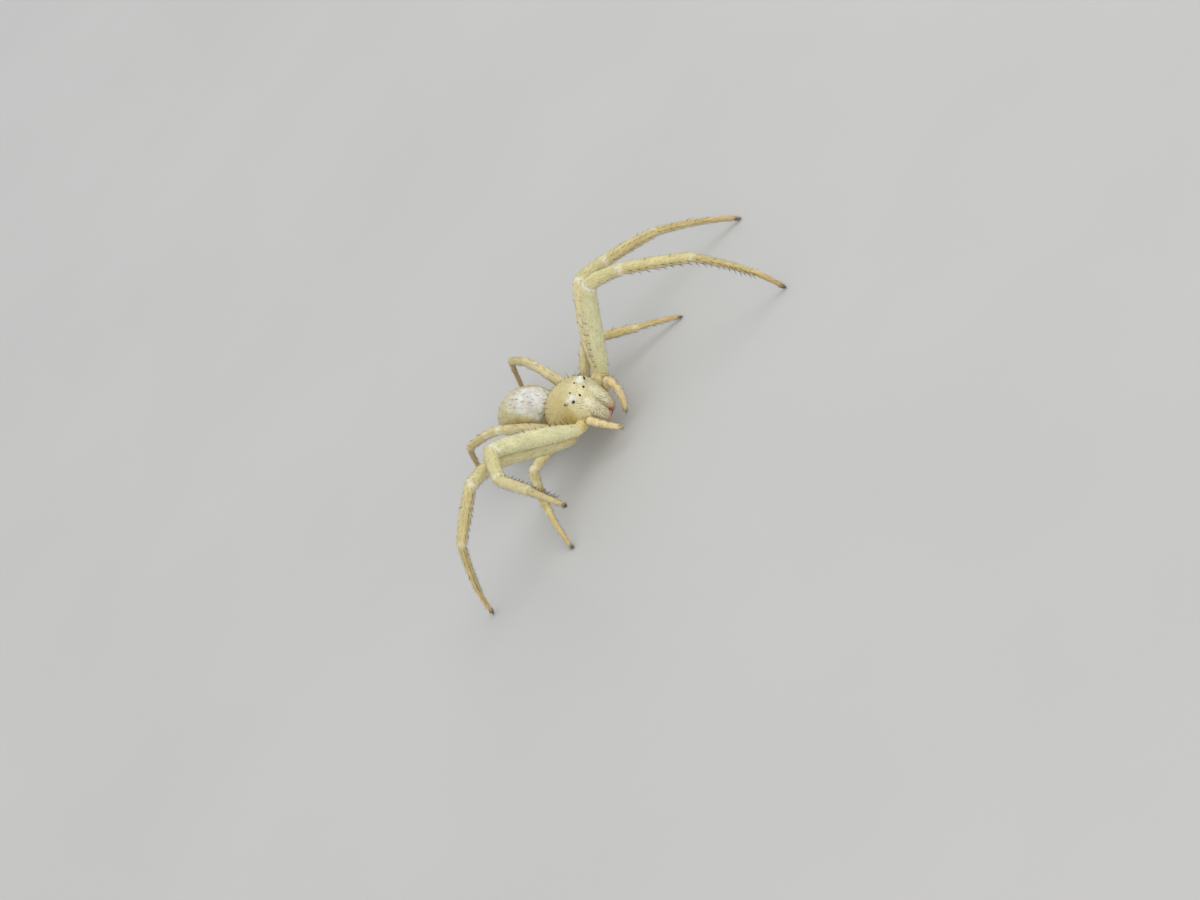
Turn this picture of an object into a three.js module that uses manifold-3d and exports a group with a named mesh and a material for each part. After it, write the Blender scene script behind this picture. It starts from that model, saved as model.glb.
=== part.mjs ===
// Crab spider at life size, in millimetres. It stands on a floor at z = 0 on seven feet, with its right
// front leg raised. It faces -Y, and its left side is +X.
import * as THREE from "three";
import { mergeVertices } from "three/addons/utils/BufferGeometryUtils.js";
import Module from "manifold-3d";

const wasm = await Module();
wasm.setup();

// Driving dimensions. Body sizes are lengths along forward, left and up from the middle of the body.
const GAP = 0.08;
const BODY_HEIGHT = 1.62;
const BODY_PITCH = 2;

const CARAPACE = {
  rear: -1.46,
  front: 1.46,
  // forward, half width
  sides: [
    [-1.46, 0.38], [-1.27, 0.74], [-1.0, 0.99], [-0.3, 1.2],
    [0.3, 1.18], [0.8, 1.0], [1.12, 0.84], [1.46, 0.62],
  ],
  // forward, height of the back line
  back: [
    [-1.46, 0.18], [-1.27, 0.48], [-1.0, 0.78], [-0.3, 1.04],
    [0.4, 1.12], [0.96, 1.05], [1.28, 0.74], [1.46, 0.44],
  ],
  // forward, height of the side margin
  margin: [[-1.46, 0.05], [-0.5, 0.0], [0.7, 0.04], [1.46, 0.22]],
  // forward, how square the cross section is
  fullness: [[-1.46, 2.0], [0.3, 2.1], [1.1, 2.6], [1.46, 2.6]],
};
const STERNUM = { halfWidth: 0.7, depth: 0.72, front: 1.0, rear: -1.15 };
// The sternum's cross section: shares of its half width and of its depth.
const CHEST = [[1, 0.15], [1, 0.75], [0.72, 1], [0, 1], [-0.72, 1], [-1, 0.75], [-1, 0.15]];
const MAXILLA = { at: [1.0, 0.3, -0.52], size: [0.3, 0.22, 0.24] };

// Eyes: place and radius. The lateral ones sit on a low ridge of three knobs.
const EYES = {
  front_middle: { at: [1.29, 0.21, 0.77], radius: 0.07 },
  front_side: { at: [1.15, 0.61, 0.85], radius: 0.095 },
  rear_middle: { at: [0.96, 0.25, 1.05], radius: 0.06 },
  rear_side: { at: [0.77, 0.66, 0.87], radius: 0.065 },
};
const TUBERCLES = [
  { at: [1.08, 0.53, 0.91], radius: 0.18 },
  { at: [0.93, 0.56, 0.87], radius: 0.15 },
  { at: [0.78, 0.61, 0.83], radius: 0.14 },
];

const CHELICERA = {
  path: [[1.28, 0.32, 0.2], [1.37, 0.295, -0.38], [1.37, 0.21, -0.96]],
  radii: [0.28, 0.31, 0.29, 0.15],
};

const PEDICEL = { from: -1.3, to: -1.62, height: -0.02, radius: 0.2 };
const ABDOMEN = { middle: -3.14, height: 0.1, halfLength: 1.74, halfWidth: 1.2, halfHeight: 1.04, slope: 6 };
const SPINNERETS = { length: 0.34, radius: 0.24 };

// Palps: joints from the mouth outward.
const PALP_RADII = [0.15, 0.195, 0.18, 0.15, 0.09];
const PALPS = {
  left: [
    [1.3, 0.76, -0.34], [1.62, 0.95, 0.02], [1.92, 0.84, -0.14], [2.04, 0.56, -0.66], [1.92, 0.14, -1.3],
  ],
  right: [
    [1.3, -0.76, -0.34], [1.45, -0.97, -0.1], [1.75, -0.97, -0.3], [2.08, -0.92, -0.64], [2.48, -0.78, -1.12],
  ],
};

// Legs, front to rear. hip is where the femur starts, root is where the coxa leaves the sternum.
const SEGMENTS = ["femur", "patella", "tibia", "metatarsus", "tarsus"];
const LEGS = {
  1: { root: [0.78, 0.64, -0.36], hip: [1.08, 1.46, 0.05], lengths: [4.57, 1.53, 2.95, 2.78, 1.3] },
  2: { root: [0.28, 0.82, -0.38], hip: [0.39, 1.74, -0.21], lengths: [4.07, 1.39, 2.47, 2.43, 1.26] },
  3: { root: [-0.27, 0.82, -0.38], hip: [-0.47, 1.36, -0.32], lengths: [2.0, 0.82, 1.4, 1.13, 0.77] },
  4: { root: [-0.8, 0.64, -0.36], hip: [-1.19, 1.09, 0.03], lengths: [2.43, 0.86, 1.54, 1.23, 0.76] },
};
const STOUT_LEGS = [1, 2];
// How far the middle of each segment bows up from its straight axis, as a share of its length.
const BOW = { femur: 0.02, patella: 0.02, tibia: 0.014, metatarsus: 0.024 };
const RADII = {
  stout: {
    coxa: [0.22, 0.29, 0.28],
    femur: [0.28, 0.4, 0.33],
    patella: [0.33, 0.31, 0.28],
    tibia: [0.28, 0.27, 0.24],
    foot: [0.22, 0.18, 0.14, 0.1],
  },
  slim: {
    coxa: [0.22, 0.25, 0.24],
    femur: [0.24, 0.27, 0.25],
    patella: [0.25, 0.26, 0.25],
    tibia: [0.25, 0.25, 0.22],
    foot: [0.2, 0.15, 0.12, 0.09],
  },
};
const FOOT_HEIGHT = 0.08;

// The pose. heading turns a leg's plane from straight ahead to its own side, lean tips the plane over,
// slopes are the rise of each segment in that plane, and swing turns the outer segments out of it.
const POSE = {
  left: {
    1: { heading: 31, lean: 4, slopes: [56, -13, -30, -58, -72], swing: 0, raised: false },
    2: { heading: 76, lean: 39, slopes: [42, -20, -28, -47, -55], swing: 0, raised: false },
    3: { heading: 72, lean: 49, slopes: [33, -52, -44, -43, -46], swing: 2, raised: false },
    4: { heading: 158, lean: -12, slopes: [11, 3, -9, -68, -78], swing: -6, raised: false },
  },
  right: {
    1: { heading: 64, lean: 26, slopes: [54, -20, -18, -11, -8], swing: -43, raised: true },
    2: { heading: 104, lean: -10, slopes: [46, 15, -31, -64, -75], swing: 1, raised: false },
    3: { heading: 83, lean: 50, slopes: [21, -30, -35, -42, -46], swing: -1, raised: false },
    4: { heading: 172, lean: 4, slopes: [18, -3, -14, -61, -71], swing: 0, raised: false },
  },
};

const RING = 12;
const BODY_RING = 28;
const STATIONS = 20;

const material = (color, roughness) => new THREE.MeshStandardMaterial({ color, roughness, metalness: 0 });
const MATERIALS = {
  carapace: material(0xdcd3a0, 0.45),
  abdomen: material(0xe6e4e2, 0.5),
  leg: material(0xe2dfbb, 0.42),
  palp: material(0xd9c283, 0.45),
  chelicera: material(0xdfd8bf, 0.45),
  eye: material(0x14100c, 0.1),
};

// Places on the body. forward, left and up are measured in the body, which is pitched and raised.
const pitch = THREE.MathUtils.degToRad(BODY_PITCH);
function onBody([forward, left, up]) {
  const ahead = forward * Math.cos(pitch) - up * Math.sin(pitch);
  const height = forward * Math.sin(pitch) + up * Math.cos(pitch);
  return new THREE.Vector3(left, -ahead, BODY_HEIGHT + height);
}
const mirrored = ([forward, left, up], side) => [forward, side === "left" ? left : -left, up];

// A smooth curve through a few [position, value] pairs, read at a position.
function profile(pairs, position) {
  const last = pairs.length - 1;
  const at = THREE.MathUtils.clamp(position, pairs[0][0], pairs[last][0]);
  const i = Math.max(0, pairs.findIndex(([x]) => x >= at) - 1);
  const slope = (j) => {
    const [x0, y0] = pairs[Math.max(j - 1, 0)];
    const [x1, y1] = pairs[Math.min(j + 1, last)];
    return (y1 - y0) / (x1 - x0);
  };
  const [x0, y0] = pairs[i];
  const [x1, y1] = pairs[i + 1];
  const span = x1 - x0;
  const t = (at - x0) / span;
  const ease = t * t * (3 - 2 * t);
  const leaving = t * (1 - t) ** 2 * slope(i);
  const arriving = t * t * (1 - t) * slope(i + 1);
  return y0 + (y1 - y0) * ease + span * (leaving - arriving);
}

// A closed surface through rings of equal count, with a fan over each end.
function loft(rings) {
  const count = rings[0].length;
  const middle = (ring) => ring.reduce((sum, p) => sum.add(p), new THREE.Vector3()).divideScalar(count);
  const points = [...rings.flat(), middle(rings[0]), middle(rings.at(-1))];
  const first = rings.length * count;
  const faces = [];
  for (let j = 0; j < count; j++) {
    const k = (j + 1) % count;
    for (let i = 0; i < rings.length - 1; i++) {
      const a = i * count;
      const b = a + count;
      faces.push(a + j, a + k, b + k, a + j, b + k, b + j);
    }
    faces.push(first, k, j);
    faces.push(first + 1, first - count + j, first - count + k);
  }
  const geometry = new THREE.BufferGeometry().setFromPoints(points);
  geometry.setIndex(faces);
  return geometry;
}

// Solids: a geometry as a manifold solid, turned the right way out, and back.
function solid(geometry) {
  const bare = new THREE.BufferGeometry();
  bare.setAttribute("position", geometry.toNonIndexed().getAttribute("position"));
  const merged = mergeVertices(bare, 1e-4);
  const vertProperties = merged.attributes.position.array;
  const made = (triVerts) => new wasm.Manifold(new wasm.Mesh({ numProp: 3, vertProperties, triVerts }));
  const shape = made(new Uint32Array(merged.index.array));
  return shape.volume() > 0 ? shape : made(new Uint32Array(merged.index.array).reverse());
}
function geometryOf(shape) {
  const whole = shape.decompose().sort((a, b) => b.volume() - a.volume())[0];
  const mesh = whole.getMesh();
  const geometry = new THREE.BufferGeometry();
  geometry.setAttribute("position", new THREE.BufferAttribute(new Float32Array(mesh.vertProperties), 3));
  geometry.setIndex(new THREE.BufferAttribute(new Uint32Array(mesh.triVerts), 1));
  return geometry;
}

// A round ring across a direction, at a point. lean is the normal of the plane that the ring lies in,
// and its first point is turned away from the direction called up.
const UP = new THREE.Vector3(0.31, 0.17, 0.93);
function ringAt(centre, along, radius, lean = along, up = UP) {
  const side = up.clone().cross(along).normalize();
  const top = along.clone().cross(side).normalize();
  return Array.from({ length: RING }, (_, i) => {
    const angle = (2 * Math.PI * i) / RING;
    const arm = side.clone().multiplyScalar(Math.cos(angle) * radius);
    arm.addScaledVector(top, Math.sin(angle) * radius);
    return arm.addScaledVector(along, -arm.dot(lean) / along.dot(lean)).add(centre);
  });
}

// The height of an arch of height one over a share of its span.
const arch = (share) => 4 * share * (1 - share);

// A piece of leg from one joint to the next, bowed at its middle. Its ends lie in planes half way to the
// segments before and after, each held back by half the gap, so that neighbours meet face to face.
function segment(from, to, radii, before, after, bow = new THREE.Vector3(), grow = 0) {
  const along = to.clone().sub(from).normalize();
  const length = from.distanceTo(to);
  const halfway = (other) => (other ? along.clone().add(other).normalize() : along.clone());
  const start = halfway(before);
  const end = halfway(after);
  const back = (plane) => (GAP / 2 - grow) / along.dot(plane);
  const shares = [0.16, 0.34, 0.5, 0.66, 0.84];
  const curve = [[0, radii[0]], [0.5, radii[1]], [1, radii[2]]];
  const at = (share) => from.clone().addScaledVector(along, share * length).addScaledVector(bow, arch(share));
  const rings = [ringAt(from.clone().addScaledVector(along, back(start)), along, radii[0] + grow, start)];
  for (const share of shares) rings.push(ringAt(at(share), along, profile(curve, share) + grow));
  rings.push(ringAt(to.clone().addScaledVector(along, -back(end)), along, radii[2] + grow, end));
  return loft(rings);
}

// The metatarsus and tarsus in one: a tapering piece with a rounded tip, flat where it meets the floor.
function foot(from, ankle, tip, radii, before, bow, standing) {
  const inner = ankle.clone().sub(from).normalize();
  const outer = tip.clone().sub(ankle).normalize();
  const start = inner.clone().add(before).normalize();
  const bend = inner.clone().add(outer).normalize();
  const [root, middle, wrist, end] = radii;
  const between = (a, b, share) => a.clone().lerp(b, share);
  const bowed = (share) => between(from, ankle, share).addScaledVector(bow, arch(share));
  const rings = [
    ringAt(from.clone().addScaledVector(inner, GAP / 2 / inner.dot(start)), inner, root, start),
    ringAt(bowed(0.2), inner, root),
    ringAt(bowed(0.5), inner, (root + middle) / 2),
    ringAt(bowed(0.8), inner, middle),
    ringAt(ankle, bend, (middle + wrist) / 2),
    ringAt(between(ankle, tip, 0.4), outer, wrist),
    ringAt(between(ankle, tip, 0.75), outer, (wrist + end) / 2),
    ringAt(between(ankle, tip, 0.93), outer, end),
    ringAt(tip, outer, end * 0.8),
    ringAt(tip.clone().addScaledVector(outer, end * 0.5), outer, end * 0.4),
  ];
  if (standing) for (const point of rings.flat()) point.z = Math.max(point.z, 0);
  return loft(rings);
}

// A leg's own upward direction, tipped over with its plane, and the leg's heading.
function legPlane(number, side) {
  const { heading, lean } = POSE[side][number];
  const rad = THREE.MathUtils.degToRad;
  const hand = side === "left" ? 1 : -1;
  const outward = new THREE.Vector3(hand * Math.sin(rad(heading)), -Math.cos(rad(heading)), 0);
  const across = new THREE.Vector3(-hand * Math.cos(rad(heading)), -Math.sin(rad(heading)), 0);
  const upward = new THREE.Vector3(0, 0, Math.cos(rad(lean))).addScaledVector(across, -Math.sin(rad(lean)));
  return { outward, upward };
}

// Leg joints: hip, knee, and the ends of patella, tibia, metatarsus and tarsus.
function joints(number, side, settle = 0) {
  const { hip, lengths } = LEGS[number];
  const { slopes, swing } = POSE[side][number];
  const rad = THREE.MathUtils.degToRad;
  const { outward, upward } = legPlane(number, side);
  const normal = outward.clone().cross(upward);
  const points = [onBody(mirrored(hip, side))];
  SEGMENTS.forEach((_, i) => {
    const slope = rad(slopes[i] + settle);
    const step = outward.clone().multiplyScalar(Math.cos(slope)).addScaledVector(upward, Math.sin(slope));
    if (i > 1) step.multiplyScalar(Math.cos(rad(swing))).addScaledVector(normal, Math.sin(rad(swing)));
    points.push(points.at(-1).clone().addScaledVector(step, lengths[i]));
  });
  return points;
}

// A standing leg is turned at the hip until its foot is on the floor.
function settled(number, side) {
  if (POSE[side][number].raised) return joints(number, side);
  let low = -8;
  let high = 8;
  for (let i = 0; i < 40; i++) {
    const middle = (low + high) / 2;
    if (joints(number, side, middle).at(-1).z > FOOT_HEIGHT) high = middle;
    else low = middle;
  }
  return joints(number, side, low);
}

const group = new THREE.Group();
function add(name, shape, look) {
  const mesh = new THREE.Mesh(geometryOf(shape), MATERIALS[look]);
  mesh.name = name;
  group.add(mesh);
}

// A ball with three half sizes along forward, left and up, tipped by a slope in degrees.
function ball(at, [long, wide, high], slope = 0, detail = 12) {
  const sphere = new THREE.SphereGeometry(1, detail * 2, detail);
  sphere.rotateX(Math.PI / 2);
  sphere.scale(wide, long, high);
  sphere.rotateX(THREE.MathUtils.degToRad(slope + BODY_PITCH));
  const centre = onBody(at);
  return solid(sphere.translate(centre.x, centre.y, centre.z));
}

// A round tube through joints on the body, with rounded ends. up is carried along, so that it never twists.
function tube(points, radii, grow = 0) {
  const path = points.map(onBody);
  const curve = new THREE.CatmullRomCurve3(path, false, "centripetal");
  const sizes = radii.map((radius, i) => [i / (radii.length - 1), radius]);
  const steps = 4 * (path.length - 1);
  const rings = [];
  let up = UP;
  const ring = (share, scale, beyond) => {
    const along = curve.getTangent(share);
    const radius = profile(sizes, share) + grow;
    const centre = curve.getPoint(share).addScaledVector(along, beyond * radius);
    up = up.clone().addScaledVector(along, -up.dot(along)).normalize();
    rings.push(ringAt(centre, along, radius * scale, along, up));
  };
  ring(0, 0.5, -0.8);
  ring(0, 0.85, -0.45);
  for (let i = 0; i <= steps; i++) ring(i / steps, 1, 0);
  ring(1, 0.85, 0.45);
  ring(1, 0.5, 0.8);
  return solid(loft(rings));
}

// Legs.
const coxaHoles = [];
for (const side of ["left", "right"]) {
  let neighbour = null;
  for (const number of [1, 2, 3, 4]) {
    const radii = STOUT_LEGS.includes(number) ? RADII.stout : RADII.slim;
    const [hip, knee, shin, ankle, wrist, tip] = settled(number, side);
    const start = onBody(mirrored(LEGS[number].root, side));
    const way = (from, to) => to.clone().sub(from).normalize();
    const [coxaWay, femurWay, patellaWay] = [way(start, hip), way(hip, knee), way(knee, shin)];
    const [tibiaWay, footWay] = [way(shin, ankle), way(ankle, wrist)];
    const { upward } = legPlane(number, side);
    const bow = (kind, from, to) => {
      const dorsal = upward.clone().projectOnPlane(way(from, to)).normalize();
      return dorsal.multiplyScalar(BOW[kind] * from.distanceTo(to));
    };
    let coxa = solid(segment(start, hip, radii.coxa, null, femurWay));
    if (neighbour) coxa = coxa.subtract(neighbour);
    neighbour = solid(segment(start, hip, radii.coxa, null, femurWay, new THREE.Vector3(), GAP));
    coxaHoles.push(neighbour);
    add(`coxa_${side}_${number}`, coxa, "leg");
    const femur = segment(hip, knee, radii.femur, coxaWay, patellaWay, bow("femur", hip, knee));
    const patella = segment(knee, shin, radii.patella, femurWay, tibiaWay, bow("patella", knee, shin));
    const tibia = segment(shin, ankle, radii.tibia, patellaWay, footWay, bow("tibia", shin, ankle));
    const standing = !POSE[side][number].raised;
    const tarsus = foot(ankle, wrist, tip, radii.foot, tibiaWay, bow("metatarsus", ankle, wrist), standing);
    for (const [kind, geometry] of Object.entries({ femur, patella, tibia, tarsus })) {
      add(`${kind}_${side}_${number}`, solid(geometry), "leg");
    }
  }
}

// Chelicerae and palps, and the hollows that they need in the head.
const headHoles = [];
for (const side of ["left", "right"]) {
  const jaw = CHELICERA.path.map((place) => mirrored(place, side));
  add(`chelicera_${side}`, tube(jaw, CHELICERA.radii), "chelicera");
  add(`palp_${side}`, tube(PALPS[side], PALP_RADII), "palp");
  headHoles.push(tube(jaw, CHELICERA.radii, GAP), tube(PALPS[side], PALP_RADII, GAP));
}

// The carapace and sternum as one shell of cross sections from the rear to the front.
function cephalothorax() {
  const rings = [];
  const stations = [];
  for (let i = 0; i <= STATIONS; i++) {
    const share = (1 - Math.cos((Math.PI * i) / STATIONS)) / 2;
    stations.push(THREE.MathUtils.lerp(CARAPACE.rear, CARAPACE.front, share));
  }
  for (const forward of stations) {
    const half = profile(CARAPACE.sides, forward);
    const top = profile(CARAPACE.back, forward);
    const margin = profile(CARAPACE.margin, forward);
    const power = 2 / profile(CARAPACE.fullness, forward);
    const reach = (forward - STERNUM.rear) / (STERNUM.front - STERNUM.rear);
    const chest = Math.sqrt(Math.max(0, 4 * reach * (1 - reach)));
    const inner = Math.min(half * 0.85, 0.3 + (STERNUM.halfWidth - 0.3) * chest);
    const belly = margin - 0.12 - (STERNUM.depth - 0.12) * chest ** 0.7;
    const ring = [];
    for (let j = 0; j <= BODY_RING; j++) {
      const angle = (Math.PI * j) / BODY_RING;
      const across = Math.sign(Math.cos(angle)) * Math.abs(Math.cos(angle)) ** power;
      ring.push([forward, -half * across, margin + (top - margin) * Math.sin(angle) ** power]);
    }
    for (const [wide, high] of CHEST) {
      ring.push([forward, inner * wide, margin - 0.1 + (belly - margin + 0.1) * high]);
    }
    rings.push(ring.map(onBody));
  }
  let shape = solid(loft(rings));
  for (const side of ["left", "right"]) {
    shape = shape.add(ball(mirrored(MAXILLA.at, side), MAXILLA.size));
    for (const { at, radius } of TUBERCLES) {
      shape = shape.add(ball(mirrored(at, side), Array(3).fill(radius), 0, 7));
    }
  }
  return shape;
}

// Eyes sit in round sockets, and the sockets are cut from the head.
let head = cephalothorax();
for (const [name, { at, radius }] of Object.entries(EYES)) {
  for (const side of ["left", "right"]) {
    const place = mirrored(at, side);
    add(`eye_${name}_${side}`, ball(place, Array(3).fill(radius), 0, 6), "eye");
    headHoles.push(ball(place, Array(3).fill(radius + GAP / 2), 0, 6));
  }
}

const pedicelEnds = [[PEDICEL.from, 0, PEDICEL.height], [PEDICEL.to, 0, PEDICEL.height]];
const pedicelHole = tube(pedicelEnds, [PEDICEL.radius, PEDICEL.radius], GAP);
for (const hole of [...headHoles, pedicelHole, ...coxaHoles]) head = head.subtract(hole);
add("cephalothorax", head, "carapace");
add("pedicel", tube(pedicelEnds, [PEDICEL.radius, PEDICEL.radius]), "carapace");

// The abdomen is widest behind its middle and slopes down to the spinnerets.
function abdomen() {
  const { middle, height, halfLength, halfWidth, halfHeight, slope } = ABDOMEN;
  const sphere = new THREE.SphereGeometry(1, 32, 20);
  sphere.rotateX(Math.PI / 2);
  const points = sphere.getAttribute("position");
  for (let i = 0; i < points.count; i++) {
    const rear = points.getY(i);
    const fuller = 1 + 0.12 * rear * (1 - rear * rear);
    points.setXYZ(i, points.getX(i) * fuller, rear, points.getZ(i) * fuller);
  }
  sphere.scale(halfWidth, halfLength, halfHeight);
  sphere.rotateX(THREE.MathUtils.degToRad(slope + BODY_PITCH));
  const centre = onBody([middle, 0, height]);
  return solid(sphere.translate(centre.x, centre.y, centre.z));
}
const slope = THREE.MathUtils.degToRad(ABDOMEN.slope);
const tail = (reach) => [
  ABDOMEN.middle - reach * Math.cos(slope),
  0,
  ABDOMEN.height - 0.25 - reach * Math.sin(slope),
];
const spinneretEnds = [tail(ABDOMEN.halfLength - 0.15), tail(ABDOMEN.halfLength + SPINNERETS.length - 0.15)];
const spinneretRadii = [SPINNERETS.radius, SPINNERETS.radius * 0.6];
const spinneretHole = tube(spinneretEnds, spinneretRadii, GAP);
add("abdomen", abdomen().subtract(pedicelHole).subtract(spinneretHole), "abdomen");
add("spinnerets", tube(spinneretEnds, spinneretRadii), "palp");

// The part's origin is the middle of its footprint, at floor level.
const box = new THREE.Box3().setFromObject(group);
const centre = box.getCenter(new THREE.Vector3());
group.position.set(-centre.x, -centre.y, 0);

export default group;
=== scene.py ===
"""A pale, hairy crab spider at life size, standing on a floor with its right front leg raised.

Sizes are in millimetres, and a place on the body is (forward, left, up) from the middle of the body.
Meshes are scaled to metres when they are made.
"""
import math

import bpy
import numpy as np
from mathutils import Matrix, Vector, kdtree


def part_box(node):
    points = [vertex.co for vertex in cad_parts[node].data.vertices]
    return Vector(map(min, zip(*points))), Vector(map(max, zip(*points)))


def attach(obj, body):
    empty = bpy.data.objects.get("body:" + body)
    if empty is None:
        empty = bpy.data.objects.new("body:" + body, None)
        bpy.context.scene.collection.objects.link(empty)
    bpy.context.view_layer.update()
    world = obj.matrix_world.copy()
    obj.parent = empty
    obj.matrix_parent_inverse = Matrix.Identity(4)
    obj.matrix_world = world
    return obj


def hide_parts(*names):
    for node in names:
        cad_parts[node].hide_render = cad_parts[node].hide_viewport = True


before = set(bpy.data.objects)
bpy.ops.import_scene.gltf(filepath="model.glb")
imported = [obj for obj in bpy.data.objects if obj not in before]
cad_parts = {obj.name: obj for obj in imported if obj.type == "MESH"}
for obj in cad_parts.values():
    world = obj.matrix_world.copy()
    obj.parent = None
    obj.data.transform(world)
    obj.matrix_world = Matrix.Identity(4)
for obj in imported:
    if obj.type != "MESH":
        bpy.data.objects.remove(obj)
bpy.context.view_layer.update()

MM = 0.001
SIDES = {"left": 1, "right": -1}
random = np.random.default_rng(7)

# The body, as in the solids.
BODY_HEIGHT = 1.62
BODY_PITCH = math.radians(2)
CARAPACE_REAR = -1.46
CARAPACE_FRONT = 1.46
# Curves of the carapace, each as (forward, value): half width, height of the back, height of the side margin,
# and how square the cross section is.
CARAPACE_SIDES = [
    (-1.46, 0.38), (-1.27, 0.74), (-1.0, 0.99), (-0.3, 1.2),
    (0.3, 1.18), (0.8, 1.0), (1.12, 0.84), (1.46, 0.62),
]
CARAPACE_BACK = [
    (-1.46, 0.18), (-1.27, 0.48), (-1.0, 0.78), (-0.3, 1.04),
    (0.4, 1.12), (0.96, 1.05), (1.28, 0.74), (1.46, 0.44),
]
CARAPACE_MARGIN = [(-1.46, 0.05), (-0.5, 0.0), (0.7, 0.04), (1.46, 0.22)]
CARAPACE_FULLNESS = [(-1.46, 2.0), (0.3, 2.1), (1.1, 2.6), (1.46, 2.6)]
STERNUM_HALF_WIDTH = 0.7
STERNUM_DEPTH = 0.72
STERNUM_FRONT = 1.0
STERNUM_REAR = -1.15
MAXILLA = ((1.0, 0.3, -0.52), (0.29, 0.21, 0.23))

# Eyes: centre, radius of the dark lens, how far the pale ring on the skin round it reaches, and how far the
# lens stands out as a share of its radius.
EYES = {
    "front_middle": ((1.29, 0.21, 0.77), 0.055, 0.085, 0.12),
    "front_side": ((1.17, 0.61, 0.84), 0.074, 0.09, 0.5),
    "rear_middle": ((0.96, 0.25, 1.05), 0.043, 0.065, 0.12),
    "rear_side": ((0.77, 0.66, 0.87), 0.046, 0.08, 0.12),
}
# How much the front side eyes are turned forward.
EYE_TURN = 0.6
EYE_STEPS = 32
# The rim round a lens, outward and back: share of the lens's radius, and height over its edge.
LIP = [(1, -0.004), (1.05, 0.003), (1.14, -0.003), (1.24, -0.022), (1.26, -0.045), (1.1, -0.07)]
# White knobs under the side eyes: place, radius, height and whiteness. The white is partly the knobs' own
# colour and partly a painted highlight.
KNOBS = [
    ((1.11, 0.51, 0.95), 0.17, 0.22, 0.95),
    ((0.93, 0.56, 0.9), 0.13, 0.07, 0.45),
    ((0.78, 0.63, 0.86), 0.12, 0.05, 0.0),
]

CHELICERA = [(1.13, 0.25, 0.5), (1.35, 0.3, 0.05), (1.4, 0.28, -0.48), (1.36, 0.2, -0.98)]
CHELICERA_RADII = [(0, 0.24), (0.2, 0.31), (0.45, 0.33), (0.7, 0.29), (0.88, 0.2), (1, 0.11)]
CHEEK = ((1.06, 0.58, -0.02), (0.36, 0.24, 0.3))

PEDICEL = ((-1.2, 0, -0.02), (-1.75, 0, -0.02))
PEDICEL_RADII = [(0, 0.17), (0.5, 0.14), (1, 0.17)]
ABDOMEN_AT = (-3.14, 0, 0.1)
ABDOMEN_HALF = (1.73, 1.19, 1.03)
ABDOMEN_SLOPE = math.radians(6)
# Two pairs of spinnerets: lift, distance to the side, reach to the rear, radius.
SPINNERETS = ((0.07, 0.06, 0.17, 0.065), (-0.08, 0.1, 0.22, 0.085))

PALPS = {
    "left": [
        (1.3, 0.76, -0.34), (1.62, 0.95, 0.02), (1.92, 0.84, -0.14), (2.04, 0.56, -0.66), (1.92, 0.14, -1.3),
    ],
    "right": [
        (1.3, -0.76, -0.34), (1.45, -0.97, -0.1), (1.75, -0.97, -0.3), (2.08, -0.92, -0.64),
        (2.48, -0.78, -1.12),
    ],
}
PALP_JOINTS = (0.33, 0.52, 0.71)
PALP_RADII = [
    (0, 0.15), (0.12, 0.18), (0.27, 0.185), (0.33, 0.15), (0.38, 0.17), (0.47, 0.172), (0.52, 0.138),
    (0.57, 0.155), (0.66, 0.15), (0.71, 0.122), (0.76, 0.135), (0.9, 0.11), (1, 0.065),
]

SEGMENTS = ["coxa", "femur", "patella", "tibia", "metatarsus", "tarsus"]
# Legs: where the coxa leaves the body, the hip, and the lengths from femur to tarsus.
LEGS = {
    1: ((0.78, 0.64, -0.36), (1.08, 1.46, 0.05), (4.57, 1.53, 2.95, 2.78, 1.3)),
    2: ((0.28, 0.82, -0.38), (0.39, 1.74, -0.21), (4.07, 1.39, 2.47, 2.43, 1.26)),
    3: ((-0.27, 0.82, -0.38), (-0.47, 1.36, -0.32), (2.0, 0.82, 1.4, 1.13, 0.77)),
    4: ((-0.8, 0.64, -0.36), (-1.19, 1.09, 0.03), (2.43, 0.86, 1.54, 1.23, 0.76)),
}
# Half heights along each segment.
STOUT = {
    "coxa": [(0, 0.2), (0.3, 0.26), (0.6, 0.28), (0.73, 0.27), (0.8, 0.225), (0.88, 0.255), (1, 0.25)],
    "femur": [(0, 0.255), (0.08, 0.295), (0.25, 0.36), (0.45, 0.385), (0.7, 0.37), (0.9, 0.335), (1, 0.32)],
    "patella": [(0, 0.3), (0.2, 0.305), (0.6, 0.285), (1, 0.262)],
    "tibia": [(0, 0.252), (0.12, 0.245), (0.45, 0.245), (0.85, 0.222), (1, 0.215)],
    "metatarsus": [(0, 0.185), (0.1, 0.17), (0.5, 0.15), (1, 0.12)],
    "tarsus": [(0, 0.112), (0.3, 0.104), (0.8, 0.09), (1, 0.072)],
}
SLIM = {
    "coxa": [(0, 0.18), (0.3, 0.23), (0.6, 0.24), (0.73, 0.23), (0.8, 0.19), (0.88, 0.215), (1, 0.205)],
    "femur": [(0, 0.2), (0.1, 0.215), (0.35, 0.24), (0.75, 0.22), (1, 0.205)],
    "patella": [(0, 0.2), (0.3, 0.212), (1, 0.19)],
    "tibia": [(0, 0.185), (0.3, 0.185), (0.8, 0.165), (1, 0.16)],
    "metatarsus": [(0, 0.135), (0.15, 0.122), (1, 0.098)],
    "tarsus": [(0, 0.095), (0.4, 0.09), (1, 0.068)],
}
WIDTH_SHARE = {"coxa": 1.0, "femur": 0.92, "patella": 0.95, "tibia": 0.95, "metatarsus": 0.95, "tarsus": 0.95}
# How far the middle of a segment bows up from its straight axis, as a share of its length.
BOW = {"coxa": 0, "femur": 0.02, "patella": 0.02, "tibia": 0.014, "metatarsus": 0.024, "tarsus": 0.015}
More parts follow.
